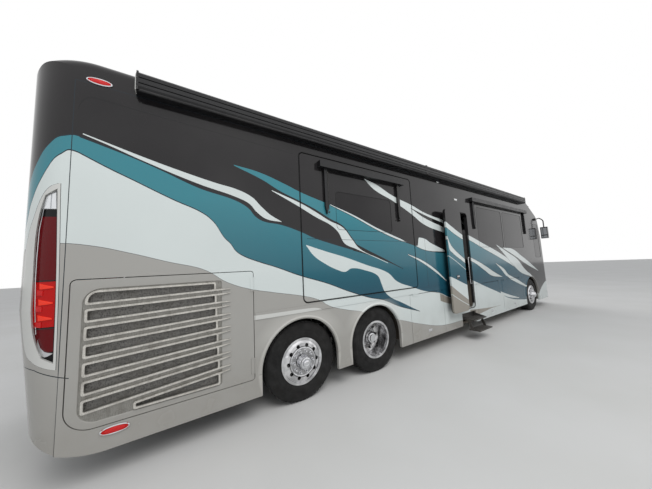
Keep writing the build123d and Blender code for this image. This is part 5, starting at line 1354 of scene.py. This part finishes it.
@dataclass
class WheelSet(Part):
    """Lug nuts, hub covers and tyre details of the six wheel bodies."""

    nuts: int = 10
    nut_circle: float = 0.1425
    twin_gap: float = 0.345      # between the middle planes of twin wheels
    plain: tuple[float, float] = (0.1545, 0.1665)     # disc and foot of the hub, outboard of the middle
    dished: tuple[float, float] = (-0.1505, 0.0065)   # the same of a twin pair's outer wheel
    tread_blocks: int = 58

    def build(self) -> None:
        """Makes everything of this part."""
        for place, axle, y, dual in (("front", FRONT, 1.105, False), ("drive", DRIVE, 1.095, True),
                                     ("tag", TAG, 1.105, False)):
            for name, side in zip(("right", "left"), SIDES):
                self.wheel(f"{place}_{name}", ahead(axle), side * y, side, dual)
                middles = (y, y - self.twin_gap) if dual else (y,)
                self.tyre(f"{place}_{name}", ahead(axle), [side * middle for middle in middles])

    def tyre(self, name: str, x: float, middles: Sequence[float]) -> None:
        """Makes the tyres of one wheel body, with moulded rings, grooves and tread blocks.

        Args:
            name: Where they are.
            x: Their axle's place.
            middles: The y of each tyre's middle plane.
        """
        profile = [*TYRE_HALF, *((-out, radius) for out, radius in reversed(TYRE_HALF))]
        held = Builder()
        for y in middles:
            held.lathe((x, y, AXLE_Z), profile, 1, 88)
            block = Builder()
            for middle in (-0.0965, -0.0485, 0.0, 0.0485, 0.0965):
                skew = 0.006 if middle else -0.006
                block.frustum(*([(out, middle + a * wide, b * deep + a * skew) for a, b in CORNERS]
                                for out, wide, deep in ((-0.001, 0.020, 0.0235), (0.0100, 0.018, 0.0215))))
            held.join(self.repeater.ring(block, (x, y, AXLE_Z), TREAD_RADIUS, self.tread_blocks))
        made = self.make(held, f"tread_tyre_{name}", "tyre_rubber", "tyre_rubber", True, body=f"wheels_{name}")
        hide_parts(f"tyre_{name}")

    def wheel(self, name: str, x: float, y: float, side: int, dual: bool) -> None:
        """Dresses one wheel.

        Args:
            name: Where it is.
            x: Its axle's place.
            y: Its middle plane.
            side: -1 on the right, 1 on the left.
            dual: Whether it is a dished outer wheel of a pair.
        """
        face, base = self.dished if dual else self.plain
        nut = Builder()
        nut.lathe((0, 0, 0), NUT, side, 12)
        ring = self.repeater.ring(nut, (x, y + side * face, AXLE_Z), self.nut_circle, self.nuts)
        ring.lathe((x, y + side * face, AXLE_Z), FLANGE, side, 72)
        ring.lathe((x, y + side * base, AXLE_Z), DRIVE_HUB if dual else HUB, side, 48)
        self.make(ring, f"wheel_nuts_{name}", "chrome_trim", "wheel_polish", True, body=f"wheels_{name}")


@dataclass
class EntryWay(Part):
    """Door handle, jamb linings, grab rail and ribbed treads at the entry door."""

    face: float = -1.45          # outer face of the open door

    def door(self) -> None:
        """Paddle handle, lock and edge rubber of the open door."""
        handle, dish, rubber = Builder(), Builder(), Builder()
        x, z = ahead(6.175), 1.446
        dish.block(about(x, 0.062), (self.face - 0.004, self.face + 0.001), about(z, 0.040), 0.010)
        handle.block(about(x, 0.050), (self.face - 0.014, self.face - 0.003), (z - 0.002, z + 0.026), 0.006)
        handle.tube([(x - 0.03, self.face - out, z - 0.020) for out in (0.003, 0.008)], 0.009, 14)
        ring = rounded((5.893, 6.532), self.face + 0.046, (0.673, 2.987), 0.08)
        rubber.tube(ring, 0.009, 8, True)
        rubber.tube([(px, py + 0.006, pz) for px, py, pz in ring], 0.006, 6, True)
        self.make(dish, "entry_door_handle_dish", "mirror_black", "mirror_black")
        self.make(handle, "entry_door_handle", "chrome_trim", smooth=True)
        self.make(rubber, "entry_door_rubber", "seal_rubber", "chassis_black", True)

    def jambs(self) -> None:
        """Black linings inside the doorway and a chrome grab rail on its front side."""
        lining, rail = Builder(), Builder()
        low, high, foot, head = ahead(6.485), ahead(7.15), 0.65, 3.01
        deep = (0.004 - HALF, 0.060 - HALF)
        for x in ((low + 0.0005, low + 0.007), (high - 0.007, high - 0.0005)):
            lining.block(x, deep, (foot + 0.09, head - 0.09), 0.001)
        lining.block((low + 0.09, high - 0.09), deep, (head - 0.007, head - 0.0005), 0.001)
        x, y = high - 0.040, RIGHT * (HALF - 0.03)
        path = [(high - 0.006, y, 1.22), (x - 0.004, y, 1.22)]
        path += [(x - 0.016, y, 1.24 + 0.62 * k / 6) for k in range(7)]
        path += [(x - 0.004, y, 1.88), (high - 0.006, y, 1.88)]
        rail.tube(path, 0.011, 12)
        for z in (1.22, 1.88):
            rail.tube([(high - out, y, z) for out in (0.007, 0.012)], 0.022, 18)
        self.make(lining, "doorway_linings", "door_lining", "chassis_black")
        self.make(rail, "doorway_grab_rail", "chrome_trim", smooth=True)

    def treads(self) -> None:
        """Rubber ribs across both folding treads."""
        held = Builder()
        for top, edge in ((0.450, -1.530), (0.235, -1.635)):
            rib = Builder()
            rib.block((ahead(6.545), ahead(7.095)), (-0.0045, 0.0045), (-0.001, 0.0035), 0.0012)
            held.join(self.repeater.row(rib, (0.0, edge + 0.032, top), (0.0, 0.024, 0.0), 7))
        self.make(held, "step_ribs", "rib_rubber", "step_metal")

    def build(self) -> None:
        """Makes everything of this part."""
        self.door()
        self.jambs()
        self.treads()


class AwningSet(Part):
    """End caps, fabric rolls and arm pivots of the awnings."""

    def build(self) -> None:
        """Makes everything of this part."""
        caps, roll, pins, bar = Builder(), Builder(), Builder(), Builder()
        y = RIGHT * HALF
        for low, high in ((-5.920, -0.962), (-0.958, 4.820)):
            roll.tube([(x, y - 0.104, 3.722) for x in (low + 0.03, high - 0.03)], 0.0125, 10)
            for z in (3.765, 3.805, 3.872):
                roll.tube([(x, y - 0.1185, z) for x in (low + 0.012, high - 0.012)], 0.0022, 6)
            for x in (low + 0.011, high - 0.011):
                caps.block(about(x, 0.010), (y - 0.1195, y - 0.003), (3.7165, 3.9235), 0.008)
                for z in (3.76, 3.88):
                    pins.tube([(x, y - out, z) for out in (0.1180, 0.1198)], 0.006, 10)
        for body, low, high in (("slide_room", -3.710, -1.750), ("coach", 1.000, 4.900)):
            own = Builder()
            own.tube([(x, y - 0.086, 3.372) for x in (low + 0.02, high - 0.02)], 0.0035, 8)
            for x in (low + 0.16, high - 0.16):
                for z in (3.30, 2.66):
                    own.tube([(x, y - out, z) for out in (0.038, 0.046)], 0.014, 14)
                own.tube([(x, y - 0.041, z) for z in (3.27, 2.70)], 0.005, 8)
            self.make(own, f"window_awning_fittings_{body}", "step_metal", "step_metal", True, body=body)
        bar.block((-5.932, -5.922), (y - 0.085, y - 0.001), (3.730, 3.905), 0.003)
        self.make(caps, "awning_end_caps", "gloss_black", "awning_black")
        self.make(roll, "awning_fabric_rolls", "valance_fabric", "awning_black", True)
        self.make(pins, "awning_screws", "chrome_trim", smooth=True)
        self.make(bar, "awning_rear_bracket", "bracket_white", "roof_white")


class BodyTrims(Part):
    """Mirror glasses, wipers, roof unit slats and bolts, and the hatch latches."""

    def mirrors(self) -> None:
        """Flat and wide-angle glasses on the mirror heads, with their split line."""
        glass, rim = Builder(), Builder()
        for side in SIDES:
            for z, height in ((2.765, 0.265), (2.560, 0.085)):
                glass.block((6.1785, 6.183), (side * 1.378, side * 1.542), about(z, height / 2), 0.0012)
                ring = [(6.180, side * (1.46 + a * 0.086), z + b * (height / 2 + 0.003)) for a, b in
                        ((-1, -0.9), (-0.9, -1), (0.9, -1), (1, -0.9), (1, 0.9), (0.9, 1), (-0.9, 1), (-1, 0.9))]
                rim.tube(ring, 0.003, 6, True)
        self.make(glass, "mirror_glasses", "mirror_glass", "mirror_black")
        self.make(rim, "mirror_rims", "seal_rubber", "mirror_black", True)

    def wipers(self) -> None:
        """Two wiper arms and blades parked low on the windshield."""
        skin = Skin(["fixed_glass", "front_cap"])
        held, blade = Builder(), Builder()

        def over(y: float, z: float, lift: float) -> Point:
            """A point lifted off the windshield."""
            return (min(skin.front(y, z).x + lift, FRONT_X - 0.006), y, z)

        for start, way in ((-0.80, 1.0), (0.80, -1.0)):
            run = [(start + way * 0.62 * k / 6, 1.40 + 0.030 * k) for k in range(7)]
            held.tube([over(y, z, 0.020) for y, z in run], 0.007, 8, False, 0.6)
            held.tube([over(start, 1.40, 0.002), over(start, 1.40, 0.026)], 0.018, 14)
            edge = [(start + way * (0.16 + 0.70 * k / 10), 1.43 + 0.019 * k) for k in range(11)]
            blade.tube([over(y, z, 0.008) for y, z in edge], 0.005, 6, False, 0.6)
        self.make(held, "wiper_arms", "mirror_black", "mirror_black", True)
        self.make(blade, "wiper_blades", "seal_rubber", "chassis_black", True)

    def roof(self) -> None:
        """Intake slats along the roof units' sides, and bolt heads on their rims."""
        held, bolts = Builder(), Builder()
        for x in (-4.360, -0.660, 2.840):
            for side in SIDES:
                slat = Builder()
                slat.block((-0.008, 0.008), (side * 0.376, side * 0.3815), (4.005, 4.060), 0.002)
                held.join(self.repeater.row(slat, (x - 0.34, 0.0, 0.0), (0.034, 0.0, 0.0), 21))
            for a in (-0.44, -0.15, 0.15, 0.44):
                for b in (-0.30, 0.30):
                    bolts.tube([(x + a, b, 4.088), (x + a, b, 4.0895)], 0.011, 8)
        self.make(held, "roof_unit_slats", "rib_rubber", "chassis_black")
        self.make(bolts, "roof_unit_bolts", "chrome_trim", smooth=True)

    def hatch(self) -> None:
        """Two pull latches at the foot of the engine hatch."""
        skin = Skin(["engine_hatch"])
        held, dish = Builder(), Builder()
        for y in (-0.45, 0.45):
            low, high = (skin.hit((REAR_X - 1.0, y, z), (1.0, 0.0, 0.0)) for z in (0.76, 0.82))
            way = (high - low).normalized()
            out = Vector((way.z, 0.0, -way.x)) * -1.0
            for width, lift, thick, target in ((0.075, 0.001, 0.004, dish), (0.055, 0.005, 0.007, held)):
                middle = (low + high) / 2 + out * lift
                target.frustum(*([tuple(middle + Vector((0, a * width, 0)) + way * b * 0.45 * width + out * up)
                                  for a, b in CORNERS] for up in (0.0, thick)))
        self.make(dish, "hatch_latch_dishes", "mirror_black", "mirror_black", body="engine_hatch")
        self.make(held, "hatch_latches", "chrome_trim", body="engine_hatch")

    def build(self) -> None:
        """Makes everything of this part."""
        self.mirrors()
        self.wipers()
        self.roof()
        self.hatch()


@dataclass
class CabSeats(Part):
    """Two leather cab seats with padded cushions and backs."""

    voxel: float = 0.011
    slack: float = 0.013         # room left round a pad for its stuffing
    cap: float = 0.020           # farthest that the stuffing moves a point
    steps: int = 20              # steps of the simulation

    def pad(self, name: str, x: Sequence[float], y: Sequence[float], z: Sequence[float]) -> None:
        """Makes one stuffed pad, swollen by a cloth simulation.

        Args:
            name: Its name.
            x: Low and high x.
            y: Low and high y.
            z: Low and high z.
        """
        shell = Builder()
        slack = self.slack
        shell.block((x[0] + slack, x[1] - slack), (y[0] + slack, y[1] - slack), (z[0] + 0.011, z[1] - slack), 0.030)
        made = piece(name, shell.vertices, shell.faces, self.palette["seat_leather"], True)
        bpy.context.view_layer.objects.active = made
        remesh = made.modifiers.new("even", "REMESH")
        remesh.mode = "VOXEL"
        remesh.voxel_size = self.voxel
        rest = self.apply(made)
        cloth = made.modifiers.new("stuffing", "CLOTH")
        cloth.settings.use_pressure = True
        cloth.settings.uniform_pressure_force = 4.0
        cloth.settings.effector_weights.gravity = 0.0
        cloth.point_cache.frame_start, cloth.point_cache.frame_end = 1, self.steps
        for step in range(1, self.steps + 1):
            bpy.context.scene.frame_set(step)
        now = self.apply(made)
        bpy.context.scene.frame_set(1)
        move = now - rest
        length = np.maximum(np.linalg.norm(move, axis=1), NOTHING)
        now = rest + move * np.minimum(1.0, self.cap / length)[:, None]
        low, high = np.array((x, y, z)).T
        now = np.clip(now, low + 0.001, high - 0.001)
        self.channels(now, low, high)
        made.data.vertices.foreach_set("co", now.ravel())
        made.data.update()
        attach(made, "coach")

    @staticmethod
    def apply(made: bpy.types.Object) -> np.ndarray:
        """Turns what the modifiers show into the piece's own mesh.

        Args:
            made: The piece.

        Returns:
            Its points.
        """
        graph = bpy.context.evaluated_depsgraph_get()
        fresh = bpy.data.meshes.new_from_object(made.evaluated_get(graph))
        made.modifiers.clear()
        made.data = fresh
        fresh.polygons.foreach_set("use_smooth", [True] * len(fresh.polygons))
        return np.array([v.co for v in fresh.vertices])

    @staticmethod
    def channels(points: np.ndarray, low: np.ndarray, high: np.ndarray) -> None:
        """Presses sewn channels into the face of a pad.

        Args:
            points: Its vertices, changed in place.
            low: Its lowest corner.
            high: Its highest corner.
        """
        flat = (high - low)[2] < (high - low)[0]
        run, face = (0, 2) if flat else (2, 0)
        top = points[:, face] > high[face] - 0.045
        for share in (0.25, 0.5, 0.75):
            line = low[run] + (high - low)[run] * share
            depth = 0.007 * np.exp(-((points[:, run] - line) / 0.010) ** 2)
            points[:, face] -= np.where(top, depth, 0.0)

    def build(self) -> None:
        """Makes everything of this part."""
        frames, piping = Builder(), Builder()
        for name, middle in (("right", -0.62), ("left", 0.62)):
            for x, half, z, soft in (((5.34, 5.60), 0.17, (1.281, 1.34), 0.008),
                                     ((5.37, 5.57), 0.12, (1.33, 1.575), 0.012),
                                     ((5.24, 5.70), 0.22, (1.570, 1.612), 0.008),
                                     ((5.150, 5.220), 0.20, (1.600, 1.720), 0.010)):
                frames.block(x, about(middle, half), z, soft)
            for kind, x, half, z in (("cushion", (5.262, 5.760), 0.27, (1.610, 1.760)),
                                     ("back", (5.112, 5.258), 0.27, (1.682, 2.120)),
                                     ("headrest", (5.118, 5.246), 0.15, (2.135, 2.358))):
                self.pad(f"seat_{kind}_{name}", x, about(middle, half), z)
            for side in SIDES:
                frames.tube([(5.18, middle + side * 0.06, z) for z in (2.05, 2.20)], 0.007, 8)
                piping.tube([(5.275 + 0.47 * k / 8, middle + side * 0.258, 1.742 - 0.012 * abs(k - 4) / 4)
                             for k in range(9)], 0.0035, 6)
        made = self.make(frames, "seat_frames", "dash_plastic", "dash_plastic")
        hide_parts("cab_seats")
        self.make(piping, "seat_piping", "seat_thread", "seat_leather", True)


@dataclass
class Studio:
    """Floor, light, background and camera."""

    camera_place: Point = (-5.5611, -4.2717, 1.8199)
    yaw: float = 56.851
    pitch: float = 5.382
    roll: float = -2.668
    focal_px: float = 232.19
    image_width: float = 652.0
    sensor: float = 36.0
    floor_reach: float = 90.0

    def camera(self) -> None:
        """Sets the camera at the photograph's viewpoint."""
        data = bpy.data.cameras.new("view")
        data.sensor_width = self.sensor
        data.lens = self.focal_px * self.sensor / self.image_width
        data.clip_end = 300.0
        made = bpy.data.objects.new("view", data)
        yaw, pitch, roll = (math.radians(a) for a in (self.yaw, self.pitch, self.roll))
        gaze = Vector((math.cos(yaw) * math.cos(pitch), math.sin(yaw) * math.cos(pitch), math.sin(pitch)))
        level = Vector((math.sin(yaw), -math.cos(yaw), 0.0))
        upright = level.cross(gaze)
        right = level * math.cos(roll) + upright * math.sin(roll)
        top = upright * math.cos(roll) - level * math.sin(roll)
        turn = Matrix((right, top, -gaze)).transposed()
        made.matrix_world = Matrix.Translation(self.camera_place) @ turn.to_4x4()
        bpy.context.scene.collection.objects.link(made)
        bpy.context.scene.camera = made

    def floor(self) -> None:
        """A plain pale floor."""
        material, graph, shader = new_material("studio_floor")
        cloud = graph.spread(graph.noise(0.6, 3.0), 0.3, 0.7, 0.0, 1.0)
        graph.feed(shader, {"Base Color": graph.mix(cloud, tint(206, 205, 202), tint(212, 211, 209)),
                            "Roughness": 0.9})
        made = piece("studio_floor", [(a * self.floor_reach, b * self.floor_reach, 0.0) for a, b in CORNERS],
                     [(0, 1, 2, 3)], material)

    def light(self) -> None:
        """Soft overcast light from above and a white background."""
        world = bpy.data.worlds.new("studio")
        bpy.context.scene.world = world
        world.use_nodes = True
        world.node_tree.nodes.clear()
        graph = Graph(world.node_tree)
        path = graph.node("ShaderNodeLightPath").outputs
        seen = graph.math("MAXIMUM", path["Is Camera Ray"],
                          graph.math("MAXIMUM", path["Is Glossy Ray"], path["Is Transmission Ray"]))
        back = graph.node("ShaderNodeBackground", {"Color": (1.0, 1.0, 1.0, 1.0), "Strength": 1.0})
        fill = graph.node("ShaderNodeBackground", {"Color": (0.93, 0.96, 1.0, 1.0), "Strength": 0.62})
        both = graph.node("ShaderNodeMixShader", {0: seen, 1: fill.outputs[0], 2: back.outputs[0]})
        graph.node("ShaderNodeOutputWorld", {"Surface": both.outputs[0]})
        for name, place, aim, size, power in (
            ("sky_panel", (-4.0, -9.0, 11.0), (-1.0, 0.0, 1.0), 9.0, 900.0),
            ("far_panel", (8.0, 10.0, 10.0), (0.0, 0.0, 1.5), 10.0, 500.0),
        ):
            data = bpy.data.lights.new(name, "AREA")
            data.shape, data.size, data.energy = "DISK", size, power
            made = bpy.data.objects.new(name, data)
            made.location = place
            made.visible_glossy = False
            made.rotation_euler = (Vector(aim) - Vector(place)).to_track_quat("-Z", "Y").to_euler()
            bpy.context.scene.collection.objects.link(made)

    def build(self) -> None:
        """Makes everything of this part."""
        self.camera()
        self.floor()
        self.light()
        bpy.context.scene.view_settings.view_transform = "Standard"
        log.info("studio set")


def main() -> None:
    """Builds the object's pieces in order."""
    logging.basicConfig(level=logging.INFO)
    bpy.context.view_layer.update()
    Studio().build()
    palette = Palette()
    repeater = Repeater()
    for part in (CoachBody, Lamps, WheelSet, EntryWay, AwningSet, BodyTrims, CabSeats):
        part(palette, repeater).build()
        log.info("%s built", part.__name__)


if __name__ == "__main__":
    main()
